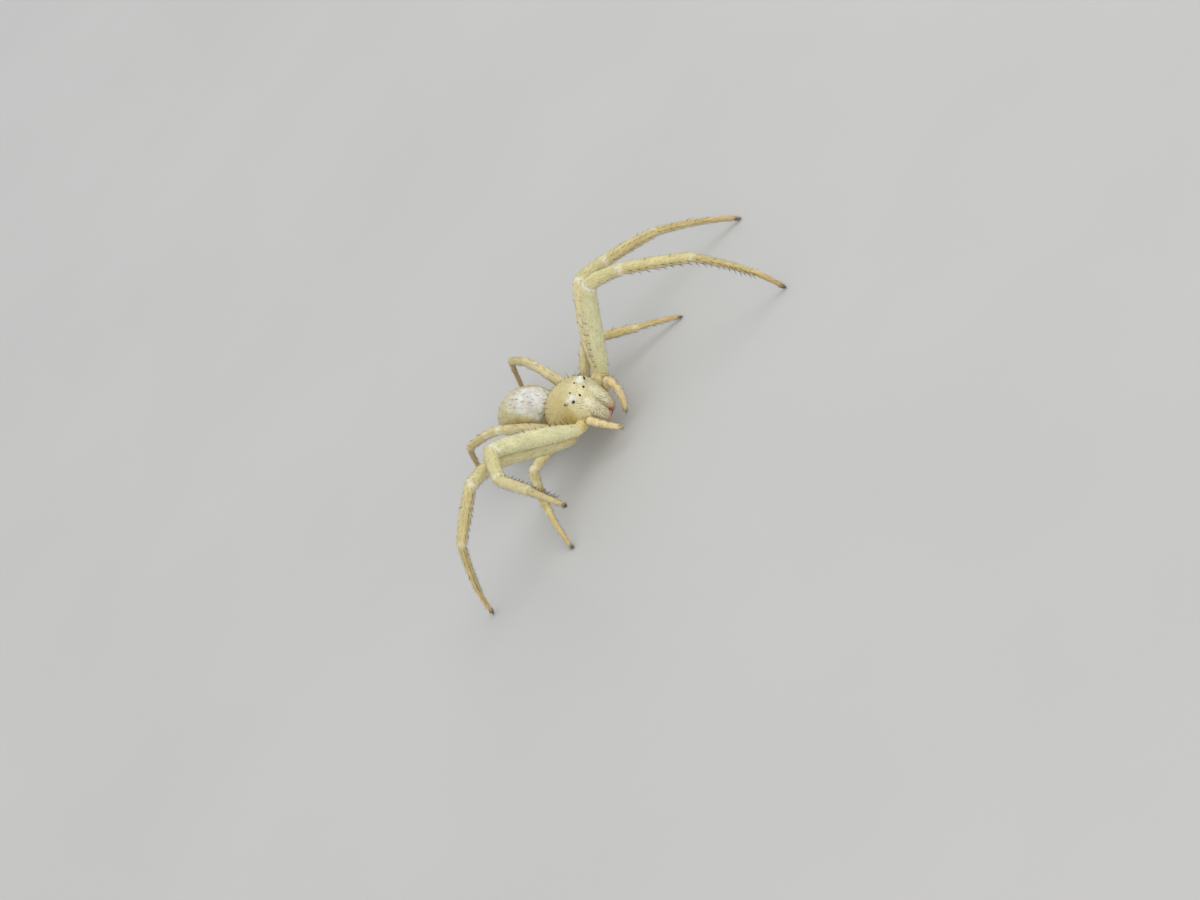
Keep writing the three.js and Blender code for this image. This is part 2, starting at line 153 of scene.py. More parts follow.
# How deep the skin draws in at a joint, as a share of the leg's thickness.
NECK_DEPTH = 0.07
FOOT_HEIGHT = 0.08
# The pose: heading and lean of a leg's plane, slopes from femur to tarsus, the swing of the outer segments
# out of that plane, and whether the leg is raised.
POSE = {
    "left": {
        1: (31, 4, (56, -13, -30, -58, -72), 0, False),
        2: (76, 39, (42, -20, -28, -47, -55), 0, False),
        3: (72, 49, (33, -52, -44, -43, -46), 2, False),
        4: (158, -12, (11, 3, -9, -68, -78), -6, False),
    },
    "right": {
        1: (64, 26, (54, -20, -18, -11, -8), -43, True),
        2: (104, -10, (46, 15, -31, -64, -75), 1, False),
        3: (83, 50, (21, -30, -35, -42, -46), -1, False),
        4: (172, 4, (18, -3, -14, -61, -71), 0, False),
    },
}


def unit(vector):
    """The same direction with length one, for one vector or for an array of them."""
    vector = np.asarray(vector, float)
    return vector / np.maximum(np.linalg.norm(vector, axis=-1, keepdims=True), 1e-12)


def smooth(low, high, value):
    """0 below low, 1 above high, and a soft step between."""
    t = np.clip((np.asarray(value, float) - low) / (high - low), 0, 1)
    return t * t * (3 - 2 * t)


def curve(pairs, position):
    """A smooth curve through a few (position, value) pairs, read at a position or an array of them."""
    x = np.array([pair[0] for pair in pairs], float)
    y = np.array([pair[1] for pair in pairs], float)
    last = len(x) - 1
    before = np.maximum(np.arange(last + 1) - 1, 0)
    after = np.minimum(np.arange(last + 1) + 1, last)
    slopes = (y[after] - y[before]) / (x[after] - x[before])
    at = np.clip(position, x[0], x[last])
    i = np.clip(np.searchsorted(x, at, side="left") - 1, 0, last - 1)
    span = x[i + 1] - x[i]
    t = (at - x[i]) / span
    ease = t * t * (3 - 2 * t)
    leaving = t * (1 - t) ** 2 * slopes[i]
    arriving = t * t * (1 - t) * slopes[i + 1]
    return y[i] + (y[i + 1] - y[i]) * ease + span * (leaving - arriving)


def on_body(places):
    """Body places as points of the frame before the shift to the part's origin."""
    places = np.asarray(places, float)
    forward, left, up = places[..., 0], places[..., 1], places[..., 2]
    ahead = forward * math.cos(BODY_PITCH) - up * math.sin(BODY_PITCH)
    height = forward * math.sin(BODY_PITCH) + up * math.cos(BODY_PITCH)
    return np.stack([left, -ahead, BODY_HEIGHT + height], axis=-1) + SHIFT


def off_body(points):
    """The body places of points of the frame."""
    points = np.asarray(points, float) - SHIFT
    left, ahead, height = points[..., 0], -points[..., 1], points[..., 2] - BODY_HEIGHT
    forward = ahead * math.cos(BODY_PITCH) + height * math.sin(BODY_PITCH)
    up = -ahead * math.sin(BODY_PITCH) + height * math.cos(BODY_PITCH)
    return np.stack([forward, left, up], axis=-1)


def mirrored(place, side):
    return (place[0], place[1] * SIDES[side], place[2])


def circle(centre, first, second, size, steps):
    """A ring of points round a centre, from two directions at right angles."""
    angle = np.linspace(0, 2 * math.pi, steps, endpoint=False)
    return centre + np.outer(np.cos(angle), first) * size + np.outer(np.sin(angle), second) * size


def box_middle(node):
    low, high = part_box(node)
    return np.array((low + high) / 2) / MM


SHIFT = np.zeros(3)
SHIFT = box_middle("eye_front_middle_left") - on_body(EYES["front_middle"][0])
SHIFT[2] = 0


class Tube:
    """A closed surface of rings, each with the same count of points.

    tags holds one number for each ring or each point, which colours and hairs read by name.
    patch is the tube's rectangle on the coat's map.
    """

    made = []

    def __init__(self, name, points, **tags):
        self.name = name
        self.points = np.asarray(points, float)
        self.tags = {}
        for key, value in tags.items():
            value = np.asarray(value, float)
            if value.ndim == 1:
                value = np.repeat(value[:, None], self.points.shape[1], axis=1)
            self.tags[key] = value
        self.middles = self.points.mean(axis=1)
        self.find_directions()
        index = len(Tube.made)
        self.patch = (0.01 + 0.245 * (index % 4), 0.01 + 0.123 * (index // 4), 0.235, 0.113)
        Tube.made.append(self)

    def find_directions(self):
        self.along = unit(np.gradient(self.points, axis=0))
        around = np.roll(self.points, -1, axis=1) - np.roll(self.points, 1, axis=1)
        normal = unit(np.cross(self.along, around))
        outward = self.points - self.middles[:, None]
        if (normal * outward).sum() < 0:
            normal = -normal
        self.normal = normal

    def nearest(self, point):
        """The row and column of the surface's point that is nearest to a point."""
        away = self.points - point
        return np.unravel_index((away ** 2).sum(axis=-1).argmin(), away.shape[:2])

    def read(self, values, u, v):
        """values of the rings' points at u along and v around, both from 0 to 1."""
        rings, steps = self.points.shape[:2]
        row = np.clip(np.asarray(u) * (rings - 1), 0, rings - 1.001)
        column = (np.asarray(v) % 1) * steps
        i, j = row.astype(int), column.astype(int) % steps
        k = (j + 1) % steps
        a, b = row - i, column - np.floor(column)
        if values.ndim == 3:
            a, b = a[..., None], b[..., None]
        low = values[i, j] * (1 - b) + values[i, k] * b
        high = values[i + 1, j] * (1 - b) + values[i + 1, k] * b
        return low * (1 - a) + high * a

    def scatter(self, density):
        """Random (u, v) places, density to the square millimetre, an array of one value for each point."""
        p = self.points
        q = np.roll(p, -1, axis=1)
        area = np.linalg.norm(np.cross(p[1:] - p[:-1], q[:-1] - p[:-1]), axis=-1)
        wanted = area * np.broadcast_to(density, p.shape[:2])[:-1]
        counts = random.poisson(wanted)
        i, j = np.nonzero(counts)
        times = counts[i, j]
        i, j = np.repeat(i, times), np.repeat(j, times)
        rings, steps = p.shape[:2]
        u = (i + random.random(i.size)) / (rings - 1)
        v = (j + random.random(j.size)) / steps
        return u, v

    def spread(self, spacing, wanted=1.0):
        """Random (u, v) places that keep spacing from each other, fewer where wanted is under one."""
        u, v = self.scatter(2.5 / spacing ** 2 * np.asarray(wanted, float))
        points = self.read(self.points, u, v)
        tree = kdtree.KDTree(len(u))
        for index, point in enumerate(points):
            tree.insert(point, index)
        tree.balance()
        kept = np.ones(len(u), bool)
        for index in random.permutation(len(u)):
            if kept[index]:
                for _, other, _ in tree.find_range(points[index], spacing):
                    kept[other] = other == index
        return u[kept], v[kept]

    def map_place(self, u, v):
        left, low, width, height = self.patch
        return np.stack([left + width * np.asarray(u), low + height * (np.asarray(v) % 1)], axis=-1)


def leg_joints(number, side, settle=0.0):
    """The root, the hip and the ends of the five outer segments, and the leg's own upward direction."""
    root, hip, lengths = LEGS[number]
    heading, lean, slopes, swing, _ = POSE[side][number]
    heading, lean, swing = math.radians(heading), math.radians(lean), math.radians(swing)
    hand = SIDES[side]
    outward = np.array([hand * math.sin(heading), -math.cos(heading), 0])
    across = np.array([-hand * math.cos(heading), -math.sin(heading), 0])
    upward = np.array([0, 0, math.cos(lean)]) - across * math.sin(lean)
    normal = np.cross(outward, upward)
    points = [on_body(mirrored(root, side)), on_body(mirrored(hip, side))]
    for i, slope in enumerate(slopes):
        rise = math.radians(slope + settle)
        step = outward * math.cos(rise) + upward * math.sin(rise)
        if i > 1:
            step = step * math.cos(swing) + normal * math.sin(swing)
        points.append(points[-1] + step * lengths[i])
    return np.array(points), upward


def settled(number, side):
    """A standing leg is turned at the hip until its foot is on the floor."""
    if POSE[side][number][4]:
        return leg_joints(number, side)
    low, high = -8.0, 8.0
    for _ in range(40):
        middle = (low + high) / 2
        if leg_joints(number, side, middle)[0][-1, 2] > FOOT_HEIGHT:
            high = middle
        else:
            low = middle
    return leg_joints(number, side, low)


LEG_STEPS = 32
# Distances from a joint at which rings are set close together.
CLOSE = np.array([0.0, 0.012, 0.025, 0.04, 0.06, 0.085, 0.12, 0.16, 0.21, 0.27])
RING_SPACING = 0.075
# The lowest height of a standing leg's skin, and of any hair.
SKIN_FLOOR = 0.004
HAIR_FLOOR = 0.003


def leg_stations(length):
    """Distances along a segment at which it has a ring."""
    near = CLOSE[CLOSE < length / 3]
    middle = np.linspace(near[-1], length - near[-1], max(3, round((length - 2 * near[-1]) / RING_SPACING)))
    return np.concatenate([near, middle[1:-1], length - near[::-1]])


def mitred(centre, along, radius, ends):
    """A ring's plane and centre, turned towards the planes half way to the next segments.

    outer is which joint turned it: -1 for the one before, 1 for the one after, and 0 for none.
    """
    plane, outer = along, 0
    for distance, halfway, hand in ends:
        bend = math.acos(min(1.0, halfway @ along))
        pull = 1 - smooth(0, max(0.1, 2.4 * radius * math.tan(bend)), distance)
        if pull > 0 and bend > 0.01:
            plane = unit(plane * (1 - pull) + halfway * pull)
            inward = unit(halfway - along * (halfway @ along)) * hand
            centre = centre + inward * radius * 0.5 * (1 / math.cos(bend) - 1) * pull
            outer = hand
    return plane, centre, outer


def drawn_in(is_first, is_last, station, to_end, under):
    """How far each point of a ring draws in at the joints and at the leg's tip, as a share of its radius."""
    depth = NECK_DEPTH * (0.3 + 0.7 * under)
    share = np.zeros(LEG_STEPS)
    if not is_first:
        share = share + depth * (1 - smooth(0.0, 0.09, station))
    if is_last:
        return share + 1 - math.sqrt(max(0.02, 1 - max(0.0, 1 - to_end / 0.09) ** 2))
    share = share + depth * (1 - smooth(0.005, 0.05, to_end))
    return share - 0.03 * math.exp(-((to_end - 0.08) / 0.05) ** 2)


def leg_tube(number, side):
    """One leg from its root in the body to its foot, with mitred rings at the joints."""
    joints, upward = settled(number, side)
    radii = STOUT if number < 3 else SLIM
    ways = unit(np.diff(joints, axis=0))
    angle = np.linspace(0, 2 * math.pi, LEG_STEPS, endpoint=False)
    under = (1 - np.cos(angle)) / 2
    last = len(SEGMENTS) - 1
    points, kinds, shares, distances, runs, arounds = [], [], [], [], [], []
    travelled = 0.0
    for i, kind in enumerate(SEGMENTS):
        along, length = ways[i], np.linalg.norm(joints[i + 1] - joints[i])
        dorsal = unit(upward - along * (upward @ along))
        sideways = np.cross(along, dorsal)
        before = along if i == 0 else unit(along + ways[i - 1])
        after = along if i == last else unit(along + ways[i + 1])
        stations = leg_stations(length)
        for station, radius in zip(stations, curve(radii[kind], stations / length)):
            share, to_end = station / length, length - station
            ends = ((station, before, -1), (to_end, after, 1))
            plane, centre, outer = mitred(joints[i] + along * station, along, radius, ends)
            centre = centre + dorsal * BOW[kind] * length * 4 * share * (1 - share)
            high = radius * (1 - drawn_in(i == 0, i == last, station, to_end, under))
            wide = high * WIDTH_SHARE[kind]
            arms = np.outer(np.cos(angle) * high, dorsal) + np.outer(np.sin(angle) * wide, sideways)
            shift = -(arms @ plane) / (along @ plane)
            sheared = arms + np.outer(shift, along)
            # The outer side of a bend is round, and the inner side keeps its crease.
            longer = np.linalg.norm(sheared, axis=1) / np.linalg.norm(arms, axis=1)
            ring = centre + sheared / np.where(shift * outer > 0, longer, 1)[:, None]
            if not POSE[side][number][4]:
                ring[:, 2] = np.maximum(ring[:, 2], SKIN_FLOOR)
            points.append(ring)
            kinds.append(i)
            shares.append(share)
            distances.append(min(station if i > 0 else math.inf, to_end if i < last else math.inf))
            runs.append(travelled + station)
            arounds.append(radius * np.minimum(angle, 2 * math.pi - angle))
        travelled += length
    tube = Tube(f"leg_{side}_{number}", points, segment=kinds, share=shares, joint=distances, run=runs,
                around=arounds, angle=np.repeat(angle[None, :], len(points), axis=0))
    tube.number, tube.side, tube.joints = number, side, joints
    return tube


def along_leg(tube, kind, share):
    """u on a leg's tube, for a share of one segment."""
    segment = SEGMENTS.index(kind)
    rows = np.nonzero(tube.tags["segment"][:, 0] == segment)[0]
    row = np.interp(share, tube.tags["share"][rows, 0], rows)
    return row / (len(tube.points) - 1)


def round_end(distance, reach):
    """1, falling to nearly nothing as a tube ends, as on a ball."""
    return math.sqrt(max(0.03, 1 - max(0.0, 1 - distance / reach) ** 2))


def swept(name, places, radii, rings, steps):
    """A tube round a smooth path through body places. radii are half widths along it, from 0 to 1."""
    path = on_body(np.array(places))
    knots = np.linspace(0, 1, len(path))
    share = np.linspace(0, 1, rings)
    line = np.stack([curve(list(zip(knots, path[:, axis])), share) for axis in range(3)], axis=-1)
    up = np.array([0.31, 0.17, 0.93])
    angle = np.linspace(0, 2 * math.pi, steps, endpoint=False)
    points, arounds = [], []
    for centre, way, t in zip(line, unit(np.gradient(line, axis=0)), share):
        up = unit(up - way * (up @ way))
        radius = curve(radii, t) * round_end(t, 0.06) * round_end(1 - t, 0.06)
        points.append(circle(centre, up, np.cross(way, up), radius, steps))
        arounds.append(curve(radii, t) * np.minimum(angle, 2 * math.pi - angle))
    run = np.concatenate([[0], np.cumsum(np.linalg.norm(np.diff(line, axis=0), axis=1))])
    return Tube(name, points, share=share, run=run, around=arounds)


def prosoma_tube():
    """Carapace above, sternum below, with the eye knobs raised from the same surface."""
    count, over, under = 120, 116, 44
    # Rings are somewhat closer together towards both ends.
    share = 0.35 * ((1 - np.cos(np.linspace(0, math.pi, count))) / 2) + 0.65 * np.linspace(0, 1, count)
    angle = np.linspace(0, math.pi, over)
    cosine = np.cos(angle)
    rings = []
    for forward in CARAPACE_REAR + (CARAPACE_FRONT - CARAPACE_REAR) * share:
        half = curve(CARAPACE_SIDES, forward)
        top = curve(CARAPACE_BACK, forward)
        margin = curve(CARAPACE_MARGIN, forward)
        power = 2 / curve(CARAPACE_FULLNESS, forward)
        left = -half * np.sign(cosine) * np.abs(cosine) ** power
        up = margin + (top - margin) * np.sin(angle) ** power
        reach = (forward - STERNUM_REAR) / (STERNUM_FRONT - STERNUM_REAR)
        chest = math.sqrt(max(0.0, 4 * reach * (1 - reach)))
        inner = min(half * 0.85, 0.3 + (STERNUM_HALF_WIDTH - 0.3) * chest)
        belly = margin - 0.12 - (STERNUM_DEPTH - 0.12) * chest ** 0.7
        base, drop = margin - 0.1, belly - margin + 0.1
        flank = [
            (0, half, margin), (0.1, half * 0.96, margin - 0.05), (0.2, inner, base + 0.15 * drop),
            (0.3, inner * 0.97, base + 0.72 * drop), (0.38, inner * 0.74, base + 0.97 * drop),
        ]
        knots = [*flank, (0.5, 0, belly), *((1 - t, -wide, high) for t, wide, high in reversed(flank))]
        t = np.linspace(0, 1, under + 2)[1:-1]
        below = [curve([(knot[0], knot[n]) for knot in knots], t) for n in (1, 2)]
        rings.append(np.concatenate([
            np.stack([np.full(over, forward), left, up], axis=-1),
            np.stack([np.full(under, forward), *below], axis=-1),
        ]))
    # The front edge is rounded over.
    front = rings[-1]
    middle = front.mean(axis=0)
    for forward, size in ((0.03, 0.93), (0.055, 0.8), (0.07, 0.62), (0.075, 0.4)):
        rings.append(middle + (front - middle) * size + np.array([forward, 0, 0]))
    tube = Tube("prosoma", on_body(np.array(rings)))
    raise_knobs(tube)
    return tube


def raise_knobs(tube):
    """Pushes the carapace out into a rounded knob under each side eye and between them."""
    for side in SIDES:
        for place, radius, height, _ in KNOBS:
            i, j = tube.nearest(on_body(mirrored(place, side)))
            out = tube.normal[i, j]
            away = tube.points - tube.points[i, j]
            along = away @ out
            off = np.linalg.norm(away - along[..., None] * out, axis=-1)
            lift = height * smooth(radius, 0.15 * radius, off) * (np.abs(along) < 2 * radius)
            tube.points = tube.points + lift[..., None] * out
    tube.find_directions()


def ellipsoid(name, at, half, slope, steps=48, rings=40, egg=0.0):
    polar = math.pi * np.linspace(0.006, 0.994, rings)
    angle = np.linspace(0, 2 * math.pi, steps, endpoint=False)
    rear = -np.cos(polar)
    fuller = 1 + egg * rear * (1 - rear ** 2)
    forward = np.repeat((-rear * half[0])[:, None], steps, axis=1)
    left = np.outer(np.sin(polar) * fuller, np.sin(angle)) * half[1]
    up = np.outer(np.sin(polar) * fuller, np.cos(angle)) * half[2]
    turned_forward = forward * math.cos(slope) - up * math.sin(slope)
    turned_up = forward * math.sin(slope) + up * math.cos(slope)
    places = np.stack([turned_forward + at[0], left + at[1], turned_up + at[2]], axis=-1)
    return Tube(name, on_body(places))


def ripple(points, scale, seed, octaves=3):
    """Smooth noise of about one wave to each scale, from sums of turned sines."""
    draw = np.random.default_rng(seed)
    total = np.zeros(points.shape[:-1])
    strength = 0.0
    for octave in range(octaves):
        for _ in range(5):
            way = unit(draw.normal(size=3)) * (2 * math.pi / scale) * 2 ** octave
            total += np.sin(points @ way + draw.random() * 7) / 2 ** octave
            strength += 0.5 / 2 ** octave
    return total / strength


def abdomen_tube():
    tube = ellipsoid("abdomen", ABDOMEN_AT, ABDOMEN_HALF, ABDOMEN_SLOPE, steps=150, rings=130, egg=0.12)
    place = off_body(tube.points) - np.array(ABDOMEN_AT)
    side = np.abs(place[..., 1]) / ABDOMEN_HALF[1]
    height = place[..., 2] / ABDOMEN_HALF[2]
    # Fine folds run along the flanks, and the back has two rows of small dents over its muscles.
    flank = smooth(0.55, 0.85, side) * smooth(0.5, 0.1, np.abs(height + 0.15))
    waver = place[..., 2] + 0.05 * np.sin(place[..., 0] * 3.1)
    lift = -0.012 * flank * (0.5 + 0.5 * np.cos(waver * 46))
    lift += 0.012 * ripple(place, 0.55, 11) * smooth(-0.2, 0.3, height)
    lift += 0.004 * ripple(place, 0.16, 12, 2)
    for forward, left in ((0.75, 0.0), (0.3, 0.3), (-0.25, 0.36), (-0.8, 0.3)):
        for sign in (1, -1):
            off = (place[..., 0] - forward) ** 2 + (place[..., 1] - sign * left) ** 2
            lift -= 0.022 * np.exp(-off / 0.07 ** 2) * (height > 0)
    tube.points = tube.points + tube.normal * (lift - 0.008)[..., None]
    tube.find_directions()
    return tube


def body_tubes():
    tubes = [prosoma_tube(), abdomen_tube(), swept("pedicel", PEDICEL, PEDICEL_RADII, 16, 24)]
    for side in SIDES:
        places = [mirrored(place, side) for place in CHELICERA]
        tubes.append(swept(f"chelicera_{side}", places, CHELICERA_RADII, 80, 64))
        tubes.append(swept(f"palp_{side}", PALPS[side], PALP_RADII, 100, 32))
        tubes.append(ellipsoid(f"maxilla_{side}", mirrored(MAXILLA[0], side), MAXILLA[1], 0, 28, 20))
        tubes.append(ellipsoid(f"cheek_{side}", mirrored(CHEEK[0], side), CHEEK[1], 0, 36, 26))
    rearward = np.array([-math.cos(ABDOMEN_SLOPE), 0, -math.sin(ABDOMEN_SLOPE)])
    tail = ABDOMEN_AT + ABDOMEN_HALF[0] * rearward + [0, 0, -0.25]
    for side, hand in SIDES.items():
        for row, (lift, apart, reach, size) in enumerate(SPINNERETS):
            start = tail + np.array([0.3, hand * apart, lift])
            end = tail + np.array([-reach, hand * apart * 1.1, lift * 1.2 - 0.03])
            radii = [(0, size), (0.5, size), (0.72, size * 0.92), (0.8, size * 0.75), (1, size * 0.5)]
            tubes.append(swept(f"spinneret_{side}_{row}", [start, end], radii, 18, 16))
    return tubes


def ring_solid(rings, ends):
    """Points and faces of a closed surface of rings, with a fan from a point at each end."""
    levels, steps = rings.shape[:2]
    ring = np.arange(steps)
    after = (ring + 1) % steps
    start = np.repeat(np.arange(levels - 1), steps) * steps
    j, k = np.tile(ring, levels - 1), np.tile(after, levels - 1)
    quads = np.stack([start + j, start + k, start + steps + k, start + steps + j], axis=-1)
    first, last = np.full((2, steps), levels * steps) + [[0], [1]]
    top = (levels - 1) * steps
    fans = np.stack([[first, after, ring], [last, top + ring, top + after]]).transpose(0, 2, 1).reshape(-1, 3)
    return np.concatenate([rings.reshape(-1, 3), ends]), quads.tolist() + fans.tolist()


def joined(parts):
    """Points and faces of several parts as one."""
    points, faces, base = [], [], 0
    for part_points, part_faces in parts:
        points.append(part_points)
        faces += [[base + corner for corner in face] for face in part_faces]
        base += len(part_points)
    return np.concatenate(points), faces


def solid(name, points, faces):
    """An object from points in millimetres, with its faces turned outward."""
    mesh = bpy.data.meshes.new(name)
    mesh.from_pydata((points * MM).tolist(), [], faces)
    mesh.update()
    piece = bpy.data.objects.new(name, mesh)
    bpy.context.scene.collection.objects.link(piece)
    if volume(mesh) < 0:
        mesh.flip_normals()
    return piece


def volume(mesh):
    mesh.calc_loop_triangles()
    corners = np.zeros(len(mesh.vertices) * 3)
    mesh.vertices.foreach_get("co", corners)
    corners = corners.reshape(-1, 3)
    triangles = np.zeros(len(mesh.loop_triangles) * 3, int)
    mesh.loop_triangles.foreach_get("vertices", triangles)
    a, b, c = (corners[triangles.reshape(-1, 3)[:, n]] for n in range(3))
    return (a * np.cross(b, c)).sum() / 6


def fused(name, tubes):
    """One closed skin from all the tubes."""
    parts = [solid(tube.name, *ring_solid(tube.points, tube.points[[0, -1]].mean(axis=1))) for tube in tubes]
    skin, others = parts[0], bpy.data.collections.new("to_join")
    for part in parts[1:]:
        others.objects.link(part)
    join = skin.modifiers.new("join", "BOOLEAN")
    join.operation = "UNION"
    join.solver = "MANIFOLD"
    join.operand_type = "COLLECTION"
    join.collection = others
    bpy.context.view_layer.update()
    evaluated = skin.evaluated_get(bpy.context.evaluated_depsgraph_get())
    mesh = bpy.data.meshes.new_from_object(evaluated)
    mesh.name = name
    piece = bpy.data.objects.new(name, mesh)
    bpy.context.scene.collection.objects.link(piece)
    for part in parts:
        bpy.data.objects.remove(part)
    bpy.data.collections.remove(others)
    return piece


legs = {(side, number): leg_tube(number, side) for side in SIDES for number in LEGS}
body = body_tubes()
tubes = body + list(legs.values())
skin = fused("skin", tubes)
skin.data.shade_smooth()


# Colours, as the eye sees them, and as the renderer needs them.
def tone(code):
    """A colour such as "e8e0c8" in linear light."""
    parts = np.array([int(code[n:n + 2], 16) / 255 for n in (0, 2, 4)])
    return np.where(parts <= 0.04045, parts / 12.92, ((parts + 0.055) / 1.055) ** 2.4)


WHITE = tone("f4f4e8")
CREAM = tone("d6cb98")
STRAW = tone("cdbd80")
GOLD = tone("c0ab60")
BACK_WHITE = tone("d2d4ca")
LILAC = tone("c4bac4")
FLANK_PALE = tone("b6ae82")
FLANK = tone("a88f54")
RUSSET_AND_SHADE = tone("8d7346")
LEG_CREAM = tone("d5ca9a")
LEG_MINT_AND_SKY_REFLECTION = tone("d8d5a8")
LEG_TAN = tone("cabb88")
LEG_GOLD = tone("c2ab6c")
PATELLA = tone("cbc38f")
SHIN_PALE = tone("cfc48e")
SHIN = tone("c8ba80")
ANKLE = tone("c7b276")
TARSUS = tone("c2a46a")
REDDISH = tone("8c6d42")
DARK_TIP = tone("4a3320")
MEMBRANE = tone("c6a766")
PALP = tone("dcc690")
FACE = tone("d0c8a0")
JAW = tone("dbd5b4")
PINK = tone("d39a7c")
BLOOD = tone("92402f")
EYE_STAIN = tone("7d5c2e")
KNOB_WHITE_AND_HIGHLIGHT = tone("dde0d8")
# How white the spots at the joints are: positions as segment plus share of it, and strengths.
SPOT_STRENGTH = ([1.9, 2.1, 2.9, 3.1, 3.9, 4.1], [0.62, 0.45, 0.45, 0.3, 0.3, 0.2])
# How far each pair of legs leans to straw gold, from the front pair: partly the legs' own colour, partly
# painted warm light bounced onto them.
WARMTH_AND_BOUNCE_LIGHT = {1: 0.0, 2: 0.2, 3: 0.5, 4: 0.6}


def layered(under, *layers):
    """A colour field with more colours laid over it in turn, each by a field of shares."""
    for over, share in layers:
        under = under + (over - under) * np.asarray(share)[..., None]
    return under


def field(tube, colour):
    return np.broadcast_to(colour, tube.points.shape).copy()


PATTERNS = ["speck", "dash", "groove", "fibre", "line", "run", "around"]


def marks(tube, **strengths):
    """The skin's patterns over a tube: how strong each is, and the places that they read."""
    shape = tube.points.shape[:2]
    values = {"run": tube.tags.get("run", 0.0), "around": tube.tags.get("around", 0.0), **strengths}
    return np.stack([np.broadcast_to(values.get(name, 0.0), shape) for name in PATTERNS], axis=-1)


def paint_leg(tube):
    """Each segment has a colour above, on its flanks and below. The rear legs are warmer, partly by painted
    warm bounce light.
    """
    segment, share, joint = (tube.tags[name] for name in ("segment", "share", "joint"))
    above, ahead = np.cos(tube.tags["angle"]), np.sin(tube.tags["angle"]) * SIDES[tube.side]
    back, belly = smooth(0.1, 0.85, above), smooth(-0.2, -0.95, above)
    # The mint below the first femora is partly a painted reflection of the sky.
    looks = {
        "coxa": (CREAM, STRAW, STRAW),
        "femur": (LEG_CREAM, LEG_CREAM, LEG_MINT_AND_SKY_REFLECTION if tube.number == 1 else STRAW),
        "patella": (PATELLA, PATELLA, STRAW),
        "tibia": (SHIN_PALE, SHIN, LEG_TAN),
        "metatarsus": (SHIN, ANKLE, LEG_TAN),
        "tarsus": (ANKLE, TARSUS, TARSUS),
    }
    colour = field(tube, STRAW)
    for i, kind in enumerate(SEGMENTS):
        top, flank, under = looks[kind]
        look = layered(field(tube, flank), (top, back), (under, belly))
        colour = np.where((segment == i)[..., None], look, colour)
    # The front femora are mint white along the side that faces forward: partly their own colour, partly a
    # painted reflection of the sky.
    mint = (segment == 1) * smooth(0.0, 0.08, share) * smooth(0.3, 0.8, ahead - 0.35 * above)
    # The warm tint is partly painted bounce light.
    warm = np.where((segment < 3)[..., None], LEG_TAN, LEG_GOLD)
    # Soft white spots sit where segments end, and the fold of the joint is browner below.
    before = (segment > 0) & (segment < 4) & (share > 0.5)
    after = (segment > 1) & (segment < 5) & (share < 0.5)
    spot = smooth(0.26, 0.02, joint) * before + smooth(0.16, 0.0, joint) * after
    spot = spot * (0.25 + 0.75 * smooth(-0.3, 0.7, ahead + 0.3 * above))
    spot = spot * np.interp(segment + share, *SPOT_STRENGTH)
    colour = layered(
        colour,
        (LEG_MINT_AND_SKY_REFLECTION, mint * (1.0 if tube.number == 1 else 0.4)),
        (warm, WARMTH_AND_BOUNCE_LIGHT[tube.number] * np.where(segment < 4, 1.0, 0.8)),
        (REDDISH, (tube.number == 4) * 0.45 * smooth(3.5, 4.5, segment + share)),
        (WHITE, spot * (1.0 if tube.number < 3 else 0.7)),
        (MEMBRANE, 0.5 * smooth(0.03, 0.008, joint) * smooth(0.3, -0.4, above)),
        (DARK_TIP, (segment == 5) * smooth(0.7, 1.0, share) * 0.85),
    )
    inner = (segment > 0) & (joint > 0.1)
    return colour, marks(tube, speck=0.9 * inner, fibre=np.where(segment > 0, 1.0, 0.4))


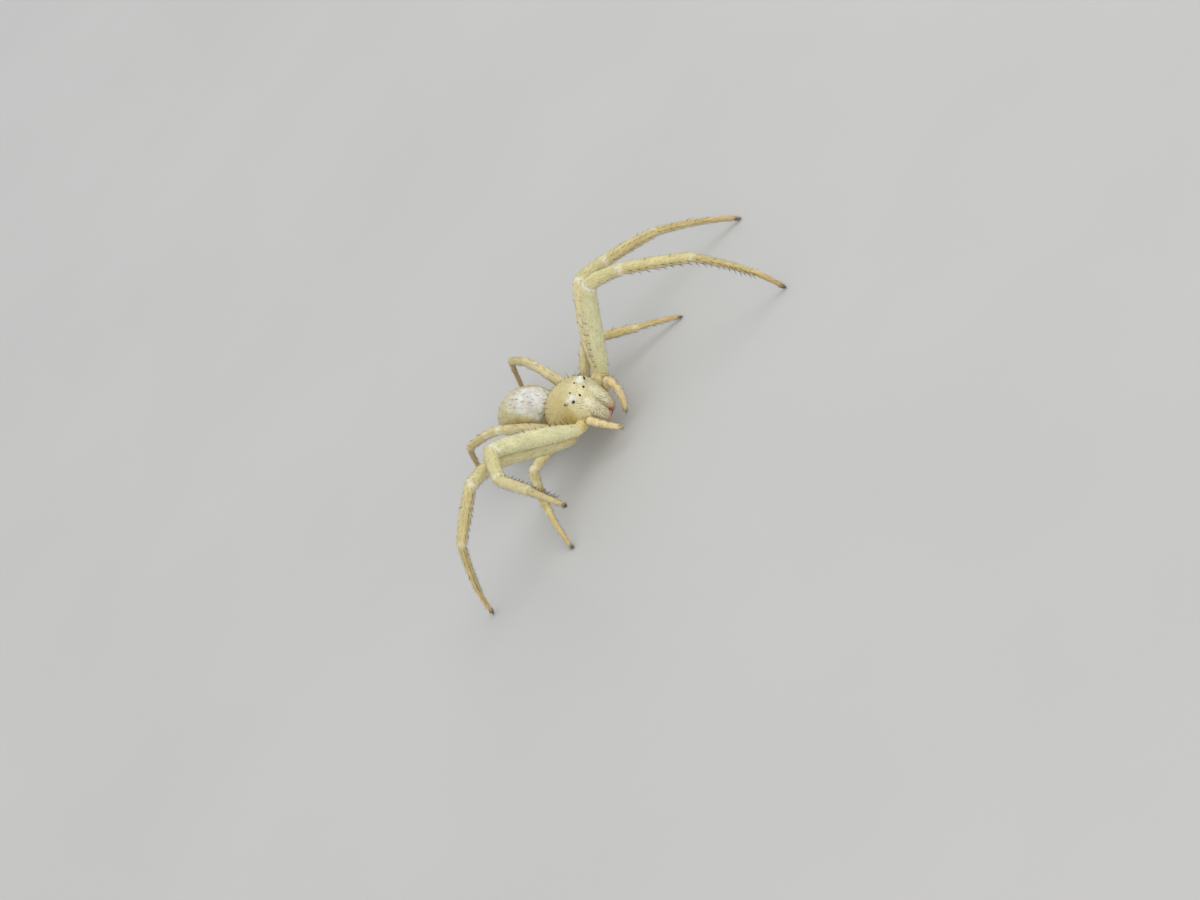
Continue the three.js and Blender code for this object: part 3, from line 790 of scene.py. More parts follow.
def paint_prosoma(tube):
    place = off_body(tube.points)
    place[..., 1] = np.abs(place[..., 1])
    forward, left, up = (place[..., axis] for axis in range(3))
    # Brownish mottling on the back, and faint darker lines that run out from its middle.
    cloud = smooth(0.1, 0.9, ripple(off_body(tube.points), 0.42, 31) + 0.3) * smooth(0.9, 0.3, forward)
    bearing, reach = np.arctan2(left, forward + 0.55), np.hypot(left, forward + 0.55)
    spoke = smooth(0.55, 0.95, np.cos(bearing * 9 + 0.6))
    spoke = spoke * smooth(0.15, 0.4, reach) * smooth(1.15, 0.8, reach)
    colour = layered(
        field(tube, STRAW),
        # The gold on the lower flanks is painted warm light bounced up from below.
        (GOLD, smooth(0.78, 0.3, up) * smooth(0.5, 1.0, left) * smooth(1.35, 0.7, forward) * 0.6),
        (GOLD, smooth(-0.6, -1.4, forward) * 0.4),
        (CREAM, smooth(0.3, 0.9, forward) * smooth(1.0, 0.5, left) * smooth(0.2, 0.6, up) * 0.85),
        (FACE, smooth(0.85, 1.15, forward) * smooth(-0.2, 0.3, up)),
        (CREAM, smooth(0.35, 0.1, left) * smooth(-1.3, -0.2, forward) * (up > 0.2) * 0.35),
        (GOLD, cloud * 0.35),
        (MEMBRANE, spoke * (up > 0.1) * 0.32),
        (CREAM, smooth(0.16, 0.04, left) * smooth(-0.9, -0.4, forward) * (up > 0.2) * 0.35),
        (MEMBRANE, smooth(0.0, -0.2, up) * 0.6),
    )
    colour = colour * (1 - 0.12 * smooth(1.1, 0.7, forward) * smooth(0.2, 0.6, up))[..., None]
    # The white on the knobs is partly their own colour and partly a painted highlight.
    knobs = np.zeros(forward.shape)
    for centre, radius, _, whiteness in KNOBS:
        off = np.linalg.norm(place - centre, axis=-1)
        knobs = np.maximum(knobs, whiteness * smooth(radius + 0.08, radius - 0.03, off))
    colour = layered(colour, (KNOB_WHITE_AND_HIGHLIGHT, knobs))
    for name, (at, _, reach, _) in EYES.items():
        if name == "rear_side":
            off = np.linalg.norm((place - at - [0.02, 0, 0]) * [0.7, 1, 1], axis=-1)
            colour = layered(colour, (EYE_STAIN, smooth(0.12, 0.05, off) * 0.8))
        else:
            off = np.linalg.norm(place - at, axis=-1)
            colour = layered(colour, (WHITE, smooth(reach + 0.03, reach - 0.02, off) * 0.4))
    # Fine wrinkles run in arcs round the two front middle eyes, with painted shade in their creases.
    middle = EYES["front_middle"][0]
    arcs = np.sqrt((forward - middle[0] + 0.02) ** 2 + (up - middle[2]) ** 2 + (0.8 * left) ** 2)
    face = 0.75 * smooth(0.8, 0.5, arcs) * smooth(0.1, 0.2, arcs) * (1 - knobs) * smooth(0.9, 1.1, forward)
    return colour, marks(tube, speck=0.9 * (1 - knobs), groove=face, line=arcs)


def paint_abdomen(tube):
    """The back is pale inside a line that runs along each side, and tan beyond it."""
    place = off_body(tube.points) - np.array(ABDOMEN_AT)
    forward, up = place[..., 0] / ABDOMEN_HALF[0], place[..., 2] / ABDOMEN_HALF[2]
    left = np.abs(place[..., 1])
    # The pale back narrows towards the rear, where the tan beyond it is partly painted shade.
    edge = 0.76 + 0.14 * smooth(0.0, 0.7, forward) - 0.3 * smooth(0.1, -0.5, forward)
    inside = edge - left + 0.05 * ripple(place, 0.5, 21) + 0.1 * np.minimum(up, 0)
    top = smooth(0.06, 0.3, inside) * smooth(-0.1, 0.25, up)
    olive = smooth(0.1, 0.8, ripple(place, 0.7, 23) + 0.3)
    cloud = smooth(0.3, 0.8, ripple(place, 0.5, 22) * 0.4 + 0.5) * smooth(0.7, 0.2, left)
    colour = layered(
        field(tube, FLANK),
        (FLANK_PALE, smooth(-0.12, 0.1, inside) * smooth(-0.6, -0.2, up)),
        (BACK_WHITE, top),
        (FLANK_PALE, top * olive * 0.4),
        (LILAC, top * cloud * 0.6),
        # Towards the rear the abdomen turns olive, and russet low at its end: partly its own tan, partly
        # painted shade.
        (FLANK_PALE, smooth(0.45, -0.4, forward) * 0.9),
        (RUSSET_AND_SHADE, smooth(-0.6, -0.95, forward) * smooth(0.6, 0.0, up) * 0.8),
    )
    # The dashes stand for flat-lying hairs with their painted shadows.
    return colour, marks(tube, dash=top * smooth(0.98, 0.85, np.abs(forward)))


def paint_chelicera(tube):
    place, share = off_body(tube.points), tube.tags["share"]
    inner = smooth(0.26, 0.08, np.abs(place[..., 1]))
    colour = layered(
        field(tube, JAW),
        (PINK, smooth(0.66 - 0.1 * inner, 0.88, share) * 0.8),
        (BLOOD, smooth(0.78 - 0.1 * inner, 0.94, share) * (0.25 + 0.75 * inner)),
    )
    # Wrinkles run along the chelicerae, with painted shade in their creases.
    line = np.abs(place[..., 1]) + 0.25 * place[..., 2]
    groove = smooth(0.85, 0.65, share) * smooth(0.2, 0.4, share)
    return colour, marks(tube, groove=groove, line=line, fibre=0.4, speck=0.3)


def paint_palp(tube):
    share = tube.tags["share"]
    joints = [(WHITE, 0.15 * smooth(0.05, 0.01, np.abs(share - joint + 0.02))) for joint in PALP_JOINTS]
    tip = (DARK_TIP, smooth(0.88, 1.0, share) * 0.85)
    colour = layered(field(tube, PALP), (CREAM, smooth(0.45, 0.0, share) * 0.5), *joints, tip)
    return colour, marks(tube, speck=0.5, fibre=0.8)


PAINTERS = {
    "leg": paint_leg, "prosoma": paint_prosoma, "abdomen": paint_abdomen, "chelicera": paint_chelicera,
    "palp": paint_palp,
}
PLAIN = {"pedicel": MEMBRANE, "maxilla": STRAW, "cheek": CREAM, "spinneret": FLANK}


def painted(tube):
    """The colour and the patterns of a tube, by the first word of its name."""
    kind = tube.name.split("_")[0]
    if kind in PLAIN:
        return field(tube, PLAIN[kind]), marks(tube)
    return PAINTERS[kind](tube)


# How many points a seam between two tubes spreads over each way, and how often it is smoothed.
SEAM_WIDTH = 5
SEAM_PASSES = 20


def soften(piece, owners, values):
    """Rounds the creases where two tubes meet in the skin, and blends the points' values there."""
    mesh = piece.data
    count = len(mesh.vertices)
    ends = np.zeros(len(mesh.edges) * 2, int)
    mesh.edges.foreach_get("vertices", ends)
    a, b = ends.reshape(-1, 2).T
    links = np.bincount(ends, minlength=count)

    def around(field_of):
        total = np.zeros_like(field_of)
        np.add.at(total, a, field_of[b])
        np.add.at(total, b, field_of[a])
        return total / (links if field_of.ndim == 1 else links[:, None])

    differ = owners[a] != owners[b]
    seam = np.zeros(count)
    seam[a[differ]] = 1
    seam[b[differ]] = 1
    for _ in range(SEAM_WIDTH):
        seam = np.maximum(seam, 1.1 * around(seam))
    seam = np.minimum(seam, 1)[:, None]
    points = np.zeros(count * 3)
    mesh.vertices.foreach_get("co", points)
    points = points.reshape(-1, 3)
    for _ in range(SEAM_PASSES):
        points += 0.5 * seam * (around(points) - points)
        values += 0.5 * seam * (around(values) - values)
    mesh.vertices.foreach_set("co", points.ravel())
    mesh.update()
    return values


def paint_skin(piece, tubes):
    """Gives each point of the skin the paint of the nearest point of the tubes."""
    paint = [np.concatenate(painted(tube), axis=-1).reshape(-1, 3 + len(PATTERNS)) for tube in tubes]
    points = np.concatenate([tube.points.reshape(-1, 3) for tube in tubes])
    values = np.concatenate(paint)
    owners = np.repeat(np.arange(len(tubes)), [len(part) for part in paint])
    tree = kdtree.KDTree(len(points))
    for index, point in enumerate(points * MM):
        tree.insert(point, index)
    tree.balance()
    nearest = np.array([tree.find(vertex.co)[1] for vertex in piece.data.vertices])
    values = soften(piece, owners[nearest], values[nearest])
    tint = piece.data.attributes.new("tint", "FLOAT_COLOR", "POINT")
    tint.data.foreach_set("color", np.concatenate([values[:, :3], np.ones((len(values), 1))], axis=1).ravel())
    for column, name in enumerate(PATTERNS):
        layer = piece.data.attributes.new(name, "FLOAT", "POINT")
        layer.data.foreach_set("value", values[:, 3 + column])


class Look:
    """A material whose nodes are added one call at a time."""

    def __init__(self, name, **constants):
        self.material = bpy.data.materials.new(name)
        self.material.use_nodes = True
        self.tree = self.material.node_tree
        self.surface = self.tree.nodes["Principled BSDF"]
        self.set(self.surface, constants)

    def set(self, node, values):
        for name, value in values.items():
            key = int(name[1:]) if name[0] == "i" and name[1:].isdigit() else name.replace("_", " ")
            socket = node.inputs[key]
            if isinstance(value, bpy.types.NodeSocket):
                self.tree.links.new(value, socket)
            else:
                socket.default_value = value

    def add(self, kind, settings=None, output=0, **inputs):
        node = self.tree.nodes.new("ShaderNode" + kind)
        for name, value in (settings or {}).items():
            setattr(node, name, value)
        self.set(node, inputs)
        return node.outputs[output]

    def maths(self, operation, *values):
        inputs = {f"i{n}": value for n, value in enumerate(values)}
        return self.add("Math", {"operation": operation}, **inputs)

    def span(self, value, low, high, to_low=0.0, to_high=1.0):
        settings = {"interpolation_type": "SMOOTHSTEP"}
        return self.add("MapRange", settings, i0=value, i1=low, i2=high, i3=to_low, i4=to_high)

    def mix(self, share, under, over, blend="MIX"):
        node = self.tree.nodes.new("ShaderNodeMix")
        node.data_type = "RGBA"
        node.blend_type = blend
        self.set(node, {"i0": share, "i6": under, "i7": over})
        return node.outputs[2]

    def field(self, name, kind="Fac"):
        node = self.tree.nodes.new("ShaderNodeAttribute")
        node.attribute_name = name
        return node.outputs[kind]

    def place(self, turn=(0, 0, 0), stretch=(1, 1, 1)):
        """Where the surface is, in millimetres, turned and stretched."""
        scale = tuple(1000 * value for value in stretch)
        where = self.add("TexCoord", output=3)
        turned = self.add("Mapping", Vector=where, Rotation=turn)
        return self.add("Mapping", Vector=turned, Scale=scale)

    def noise(self, place, scale, detail=2.0):
        return self.add("TexNoise", Vector=place, Scale=scale, Detail=detail)

    def cloud(self, place, scale, low=0.0, high=1.0, detail=2.0):
        """Noise that is spread evenly between two values."""
        return self.span(self.noise(place, scale, detail), 0.3, 0.7, low, high)

    def times(self, first, *others):
        for other in others:
            first = self.maths("MULTIPLY", first, other)
        return first

    def cells(self, place, scale, wide, narrow, share, mask):
        """Soft spots in a share of random cells, as strong as a mask lets them be."""
        node = self.tree.nodes.new("ShaderNodeTexVoronoi")
        self.set(node, {"Vector": place, "Scale": scale, "Randomness": 0.8})
        near = self.span(node.outputs["Distance"], wide, narrow)
        present = self.maths("LESS_THAN", self.add("SeparateColor", Color=node.outputs["Color"]), share)
        return self.times(near, present, mask)

    def finish(self, **links):
        self.set(self.surface, links)
        return self.material


def paint_of(code):
    """A colour such as "e8e0c8" as a socket takes it."""
    return (*[float(value) for value in tone(code)], 1.0)


# How a colour's light spreads below the surface: red goes deepest.
SPREAD = (1.0, 0.8, 0.5)
# Millimetres from one wrinkle of the face to the next.
WRINKLE_SPACING = 0.078


def skin_look():
    look = Look("skin", Subsurface_Weight=0.45, Subsurface_Radius=(1.0, 0.8, 0.45), Subsurface_Scale=0.0004,
                Specular_IOR_Level=0.45, Coat_Weight=0.06, Coat_Roughness=0.3, Sheen_Weight=0.1,
                Sheen_Roughness=0.5, Sheen_Tint=(1.0, 0.95, 0.8, 1.0))
    place = look.place()
    broad = look.cloud(place, 1.3, 0.93, 1.04, 3.0)
    fine = look.cloud(place, 14.0, 0.93, 1.04)
    # Fibres run lengthwise under the skin of legs and palps.
    along, across = look.times(look.field("run"), 2.2), look.times(look.field("around"), 21.0)
    grain = look.add("CombineXYZ", X=along, Y=across, Z=look.times(broad, 3.0))
    threaded = look.times(look.span(look.noise(grain, 1.0), 0.32, 0.68), look.field("fibre"))
    shade = look.times(broad, fine, look.maths("MULTIPLY_ADD", threaded, -0.16, 1.04))
    grey = look.add("CombineColor", Red=shade, Green=shade, Blue=shade)
    colour = look.mix(1.0, look.field("tint", "Color"), grey, "MULTIPLY")
    # Small brown dots mark the roots of hairs.
    dot = look.cells(place, 6.5, 0.2, 0.09, 0.6, look.field("speck"))
    colour = look.mix(look.times(dot, 0.5), colour, paint_of("866a3a"))
    # Soft grey dashes lie nearly along the abdomen: they stand for flat-lying hairs, with the shadows these
    # hairs cast painted in.
    slant = look.place(turn=(0, 0, math.radians(8)), stretch=(8.0, 2.4, 4.0))
    dash = look.cells(slant, 1.0, 0.42, 0.12, 0.75, look.field("dash"))
    colour = look.mix(look.times(dash, 0.68), colour, paint_of("8a8a90"))
    # Fine grey wrinkles on the face and chelicerae waver and break off; the grey is painted shade in their
    # creases.
    waver = look.span(look.noise(place, 3.0, 3.0), 0.2, 0.8, -0.06, 0.06)
    line = look.times(look.maths("ADD", look.field("line"), waver), 2 * math.pi / WRINKLE_SPACING)
    broken = look.span(look.noise(place, 6.0), 0.32, 0.54, 0.25, 1.0)
    wrinkle = look.times(look.span(look.maths("SINE", line), -0.3, 0.7), look.field("groove"), broken)
    colour = look.mix(look.times(wrinkle, 0.7), colour, paint_of("7c7858"))
    pores, swell = look.noise(place, 30.0), look.times(look.noise(place, 6.0, 3.0), 2.0)
    height = look.maths("SUBTRACT", look.maths("ADD", pores, swell), look.times(wrinkle, 1.5))
    height = look.maths("ADD", height, threaded)
    bump = look.add("Bump", Strength=0.4, Distance=0.00001, Height=height)
    return look.finish(Base_Color=colour, Roughness=look.cloud(place, 9.0, 0.38, 0.54), Normal=bump)


def grained_look(name, deep, pale, grain, rough, **constants):
    """A look between two colours. grain is the scale of its clouds, or None where a hair has its own shade.

    rough is a roughness, or the scale of its clouds and the lowest and highest roughness.
    """
    look = Look(name, **constants)
    place = look.place()
    shade = look.cloud(place, grain) if grain else look.field("shade")
    if isinstance(rough, tuple):
        rough = look.cloud(place, *rough)
    return look.finish(Base_Color=look.mix(shade, paint_of(deep), paint_of(pale)), Roughness=rough)


def dressed(piece, slot, *materials):
    """Gives a piece its materials. The slot is not used. It rides on the body."""
    piece.data.shade_smooth()
    for material in materials:
        piece.data.materials.append(material)
    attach(piece, "root")
    return piece


def triangle_piece(name, points, faces):
    """A large mesh from points in millimetres and faces of three corners."""
    mesh = bpy.data.meshes.new(name)
    mesh.vertices.add(len(points))
    mesh.vertices.foreach_set("co", (points * MM).ravel())
    mesh.loops.add(faces.size)
    mesh.loops.foreach_set("vertex_index", faces.ravel())
    mesh.polygons.add(len(faces))
    mesh.polygons.foreach_set("loop_start", np.arange(len(faces)) * 3)
    mesh.update(calc_edges=True)
    mesh.validate()
    piece = bpy.data.objects.new(name, mesh)
    bpy.context.scene.collection.objects.link(piece)
    return piece


# The size of one hair's patch on the coat's map.
PATCH = 0.003


def strand_faces(sides, levels):
    """Faces of one tapered hair: rings of points, a tip, and a flat root."""
    faces = []
    for n in range(sides):
        m = (n + 1) % sides
        for ring in range(0, (levels - 1) * sides, sides):
            faces += [(ring + n, ring + m, ring + sides + m), (ring + n, ring + sides + m, ring + sides + n)]
        faces.append(((levels - 1) * sides + n, (levels - 1) * sides + m, levels * sides))
    return faces + [(0, n + 1, n) for n in range(1, sides - 1)]


def strand_mesh(roots, normals, lies, lengths, radii, lifts, curls, map_places, sides=3, levels=3):
    """Tapered solid hairs. Each leaves its root at lift from the skin, and bends by curl towards its lie."""
    count = len(roots)
    lies = unit(lies - normals * (lies * normals).sum(axis=-1, keepdims=True))
    start = lies * np.cos(lifts)[:, None] + normals * np.sin(lifts)[:, None]
    share = np.linspace(0, 1, levels + 1)
    sink = radii * 2.0 + 0.008
    reach = share[None, :, None] * lengths[:, None, None]
    bend = (share ** 2)[None, :, None] * (lengths * curls)[:, None, None]
    path = (roots - start * sink[:, None])[:, None] + start[:, None] * reach + lies[:, None] * bend
    across = unit(np.cross(start, normals + lies * 0.01))
    third = unit(np.cross(start, across))
    angle = np.linspace(0, 2 * math.pi, sides, endpoint=False)
    spread = across[:, None] * np.cos(angle)[None, :, None] + third[:, None] * np.sin(angle)[None, :, None]
    thickness = radii[:, None] * (1 - 0.62 * share[None, :-1] ** 1.3)
    rings = path[:, :-1, None, :] + spread[:, None] * thickness[:, :, None, None]
    points = np.concatenate([rings.reshape(count, -1, 3), path[:, -1:, :]], axis=1)
    size = levels * sides + 1
    faces = (np.array(strand_faces(sides, levels)) + (np.arange(count) * size)[:, None, None]).reshape(-1, 3)
    level_of = np.append(np.repeat(np.arange(levels), sides), levels) / levels
    side_of = np.append(np.tile(np.arange(sides), levels), sides / 2) / sides
    offset = np.stack([level_of - 0.5, side_of - 0.5], axis=-1) * PATCH
    uv = (map_places[:, None] + offset[None]).reshape(-1, 2)
    return points.reshape(-1, 3), faces, uv, size


def coat_piece(name, groups, material, slot):
    """One joined mesh from groups of strands, with its place on the coat's map."""
    points, faces, uvs, shades = [], [], [], []
    base = 0
    for group in groups:
        shade = group.pop("shade")
        group_points, group_faces, uv, size = strand_mesh(**group)
        points.append(group_points)
        faces.append(group_faces + base)
        uvs.append(uv)
        shades.append(np.repeat(shade, size))
        base += len(group_points)
    points, uvs = np.concatenate(points), np.concatenate(uvs)
    points[:, 2] = np.maximum(points[:, 2], HAIR_FLOOR)
    piece = dressed(triangle_piece(name, points, np.concatenate(faces)), slot, material)
    layer = piece.data.uv_layers.new(name="OFBake")
    corners = np.zeros(len(piece.data.loops), int)
    piece.data.loops.foreach_get("vertex_index", corners)
    layer.data.foreach_set("uv", uvs[corners].ravel())
    shade = piece.data.attributes.new("shade", "FLOAT", "POINT")
    shade.data.foreach_set("value", np.concatenate(shades))


def grown(tube, places, lengths, radius, lift, curl=0.15, toward=None, dark=0.5, jitter=0.25, varied=0.15,
          **shape):
    """Strands at (u, v) places of a tube, along it or toward a direction. dark is 0 for the darkest shade."""
    u, v = places
    count = len(u)
    normals = unit(tube.read(tube.normal, u, v))
    lies = unit(tube.read(tube.along, u, v)) if toward is None else np.broadcast_to(toward, (count, 3))
    lies = lies + random.normal(0, jitter, (count, 3))
    return dict(
        roots=tube.read(tube.points, u, v), normals=normals, lies=lies,
        lengths=lengths * random.uniform(0.75, 1.2, count),
        radii=radius * random.uniform(0.85, 1.15, count),
        lifts=lift + random.normal(0, 0.1, count),
        curls=curl * random.uniform(0.6, 1.4, count),
        map_places=tube.map_place(u, v),
        shade=np.clip(dark + random.normal(0, varied, count), 0, 1), **shape,
    )


def leg_down(numbers):
    """Short fine hairs all over the legs, lying towards the foot."""
    groups = []
    for tube in legs.values():
        if tube.number in numbers:
            segment, joint = tube.tags["segment"], tube.tags["joint"]
            density = np.select([segment == 0, segment == 1, segment == 5], [30, 85, 190], 120)
            places = tube.scatter(density * np.minimum(1, joint / 0.08))
            groups.append(grown(tube, places, 0.13, 0.0045, 0.35, dark=0.7, varied=0.3))
    return groups


def leg_hairs():
    """Dark hairs that stand off the legs, evenly spaced and closest on the feet."""
    groups = []
    for tube in legs.values():
        segment, joint = tube.tags["segment"], tube.tags["joint"]
        for kinds, spacing, length in (((0, 1), 0.19, 0.15), ((2, 3), 0.15, 0.17), ((4, 5), 0.11, 0.17)):
            places = tube.spread(spacing, np.isin(segment, kinds) & (joint > 0.05))
            groups.append(grown(tube, places, length, 0.0062, 0.6, dark=0.35, jitter=0.15, varied=0.25))
    return groups


# Where the paired spines below the front legs stand, and those along their femora.
COMB_TIBIA = np.linspace(0.12, 0.93, 8)
COMB_METATARSUS = (0.06, 0.17, 0.28, 0.38, 0.47, 0.56, 0.64, 0.72, 0.79, 0.86, 0.93)
FRONT_FEMUR = (0.1, 0.16, 0.23, 0.3, 0.38, 0.47, 0.6)
# Single spines on the back of the front legs: segment, shares along it, angle from its top, lift.
BACK_SPINES = [
    ("femur", (0.3, 0.55, 0.8), -0.2, 0.75), ("tibia", (0.35, 0.7), 0.0, 0.75),
    ("metatarsus", (0.3, 0.6), 0.4, 0.7),
]


def spine_rows(number, hand):
    """Rows of spines: segment, shares along it, angle from its top, length, radius, lift, scatter."""
    if number > 2:
        return [
            ("tibia", (0.3, 0.62, 0.9), math.pi, 0.2, 0.01, 0.55, 0.06),
            ("metatarsus", (0.3, 0.6, 0.85), math.pi, 0.19, 0.01, 0.55, 0.06),
            ("femur", (0.3, 0.6, 0.85), 0.0, 0.2, 0.01, 0.75, 0.06),
            ("tibia", (0.2, 0.65), 0.0, 0.2, 0.01, 0.75, 0.06),
        ]
    radius, length, lift = (0.015, 0.27, 1.0) if number == 1 else (0.011, 0.21, 0.7)
    rows = []
    # The front legs are turned, so the comb of paired spines below them faces forward.
    for turn in (-0.42, 0.42):
        rows.append(("tibia", COMB_TIBIA, hand * (1.9 + turn), length, radius, 0.65 * lift, 0.06))
        rows.append(("metatarsus", COMB_METATARSUS, hand * (1.65 + turn), length, radius, 0.95 * lift, 0.12))
    rows.append(("femur", FRONT_FEMUR, 0.95 * hand, length, radius, 0.85, 0.06))
    rows += [(kind, shares, angle * hand, 0.2, 0.01, rise, 0.06) for kind, shares, angle, rise in BACK_SPINES]
    return rows


def leg_spines():
    groups = []
    for tube in legs.values():
        for kind, shares, angle, length, radius, lift, jitter in spine_rows(tube.number, SIDES[tube.side]):
            u = along_leg(tube, kind, shares)
            v = (angle + random.normal(0, 0.06, len(u))) / (2 * math.pi)
            shape = dict(dark=0.1, jitter=jitter, sides=5, levels=5)
            groups.append(grown(tube, (u, v), length, radius, lift, 0.06, **shape))
    return groups


def foot_brush():
    """Dark tufts under and round the tip of each tarsus."""
    groups = []
    for tube in legs.values():
        segment, share, angle = tube.tags["segment"], tube.tags["share"], tube.tags["angle"]
        low = smooth(0.2, -0.6, np.cos(angle))
        places = tube.scatter(900 * (segment == 5) * smooth(0.66, 0.97, share) * (0.3 + 0.7 * low))
        groups.append(grown(tube, places, 0.09, 0.006, 0.45, dark=0.1))
    return groups


prosoma, abdomen = body[0], body[1]
REARWARD = (0, 1, 0)
FORWARD = (0, -1, 0)
OUTWARD_FORE = (0, -0.6, -0.8)


def body_down():
    """Short fine hairs over carapace, face, abdomen, palps and chelicerae."""
    place = off_body(prosoma.points)
    forward, up = place[..., 0], place[..., 2]
    density = 110 * ((up > 0.05) & (forward < 0.95)) + 90 * ((up > 0.05) & (forward >= 0.95))
    groups = [
        grown(prosoma, prosoma.scatter(density), 0.1, 0.0048, 0.45, 0.1, FORWARD, 0.6, varied=0.3),
        grown(abdomen, abdomen.scatter(70), 0.11, 0.004, 0.45, 0.15, REARWARD, 0.85),
    ]
    for tube in body:
        if tube.name.startswith("palp"):
            groups.append(grown(tube, tube.scatter(240), 0.12, 0.0045, 0.5, 0.12, dark=0.7, varied=0.3))
        if tube.name.startswith("chelicera"):
            places = tube.scatter(150 * smooth(0.97, 0.8, tube.tags["share"]))
            groups.append(grown(tube, places, 0.11, 0.0042, 0.4, 0.12, dark=0.6, varied=0.3))
    return groups


def body_bristles():
    """Dark bristles: long and upright along the carapace's flanks, short and lying back on the abdomen."""
    place = off_body(prosoma.points)
    forward, up = place[..., 0], place[..., 2]
    behind = off_body(abdomen.points) - np.array(ABDOMEN_AT)
    above = behind[..., 2] > -0.25
    flank = (up > 0.02) & (up < 0.5) & (forward < 0.7)
    shoulder = (up > 0.3) & (up < 0.8) & (forward < 0.6)
    # For each kind: tube, spacing, where it grows, length, radius, lift, curl, direction, shade and scatter.
    kinds = [
        (prosoma, 0.17, flank, 0.42, 0.0085, 1.1, 0.1, OUTWARD_FORE, 0.75, 0.15),
        (prosoma, 0.24, (up >= 0.5) & (forward < 0.85), 0.16, 0.0085, 0.8, 0.15, FORWARD, 0.35, 0.5),
        (prosoma, 0.16, (up > 0.4) & (forward < -0.8), 0.2, 0.009, 1.1, 0.15, REARWARD, 0.25, 0.5),
        (prosoma, 0.42, shoulder, 0.5, 0.007, 1.35, 0.1, REARWARD, 0.55, 0.3),
        (abdomen, 0.24, above, 0.17, 0.0075, 0.3, 0.1, REARWARD, 0.95, 0.12),
        (abdomen, 0.34, above & (behind[..., 0] > 1.2), 0.2, 0.008, 0.9, 0.2, REARWARD, 0.5, 0.4),
        (abdomen, 0.3, ~above, 0.15, 0.006, 0.6, 0.15, REARWARD, 0.5, 0.2),
    ]
    for tube in body:
        if tube.name.startswith("palp"):
            kinds.append((tube, 0.12, tube.tags["share"] > 0.08, 0.2, 0.0065, 0.8, 0.15, None, 0.35, 0.25))
        if tube.name.startswith("chelicera"):
            kinds.append((tube, 0.14, tube.tags["share"] > 0.2, 0.13, 0.0055, 0.5, 0.15, None, 0.5, 0.25))
    return [grown(tube, tube.spread(spacing, where), *look) for tube, spacing, where, *look in kinds]


def horn(start, way, down, length, radius, steps=8, levels=9, turn=1.1):
    """Points and faces of a curved tapering cone that starts along way and bends to down."""
    side = unit(np.cross(way, down))
    down = unit(np.cross(side, way))
    rings, centre = [], np.array(start, float)
    for share in np.arange(levels) / levels:
        bearing = turn * share
        along = way * math.cos(bearing) + down * math.sin(bearing)
        out = down * math.cos(bearing) - way * math.sin(bearing)
        rings.append(circle(centre, out, side, radius * (1 - share) ** 0.8, steps))
        centre = centre + along * length / levels
    return ring_solid(np.array(rings), [rings[0].mean(axis=0), centre])


def claws():
    horns = []
    for (side, number), tube in legs.items():
        tip, before = tube.joints[-1], tube.joints[-2]
        way = unit(tip - before)
        down = unit(np.array([0, 0, -1.0]) - way * way[2] * -1)
        if POSE[side][number][4]:
            down = -unit(leg_joints(number, side)[1])
        across = unit(np.cross(way, down))
        for sign in (-1, 1):
            start = tip - way * 0.03 + across * sign * 0.028 - down * 0.01
            horns.append(horn(start, unit(way + across * sign * 0.25 - down * 0.15), down, 0.17, 0.02))
    points, faces = joined(horns)
    points[:, 2] = np.maximum(points[:, 2], 0.0)
    look = grained_look("horn", "1f140c", "4a2a18", 25.0, (40.0, 0.2, 0.34),
                        Specular_IOR_Level=0.6, Coat_Weight=0.2, Coat_Roughness=0.1)
    dressed(solid("claws", points, faces), "bristle", look)


def fangs():
    """Each fang is folded in between the tips of the chelicerae."""
    horns = []
    for side in SIDES:
        before, tip = on_body(mirrored(CHELICERA[-2], side)), on_body(mirrored(CHELICERA[-1], side))
        way = unit(tip - before)
        inward = np.array([-SIDES[side], 0, 0], float)
        start = tip - way * 0.07 + inward * 0.03
        horns.append(horn(start, unit(way + inward * 0.5), inward, 0.24, 0.048, 12, 12, 1.2))
    look = grained_look("fang", "5e1a14", "9c4134", 12.0, (30.0, 0.2, 0.32),
                        Specular_IOR_Level=0.6, Coat_Weight=0.3, Coat_Roughness=0.1)
    dressed(solid("fangs", *joined(horns)), "chelicera", look)


def on_head(place, side):
    """The point of the head's surface nearest to a body place, and the way out there."""
    point = on_body(mirrored(place, side))
    i, j = prosoma.nearest(point)
    out = prosoma.normal[i, j]
    return point + out * ((prosoma.points[i, j] - point) @ out), out


def eye(name, side, lens, rim):
    """A dark domed lens set in a low pale rim."""
    place, radius, _, lift = EYES[name]
    surface, out = on_head(place, side)
    if name == "front_side":
        out = unit(out + EYE_TURN * np.array(FORWARD))
    centre = surface + out * radius * lift
    side_way = unit(np.cross(out, [0.2, 0.1, 0.97]))
    up_way = np.cross(out, side_way)
    dome = [(math.sin(a) * radius, math.cos(a) * radius * 0.8) for a in np.linspace(0, math.pi / 2, 12)[1:]]
    profile = dome + [(radius * share, height) for share, height in LIP]
    rings = [circle(centre + out * height, side_way, up_way, size, EYE_STEPS) for size, height in profile]
    ends = [centre + out * radius * 0.8, centre - out * 0.08]
    piece = solid(f"lens_{name}_{side}", *ring_solid(np.array(rings), ends))
    dressed(piece, "eye", lens, rim)
    bands = [int(level >= len(dome) - 1) for level in range(len(profile) - 1)]
    piece.data.polygons.foreach_set("material_index", np.repeat([*bands, 0, 1], EYE_STEPS))
    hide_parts(f"eye_{name}_{side}")


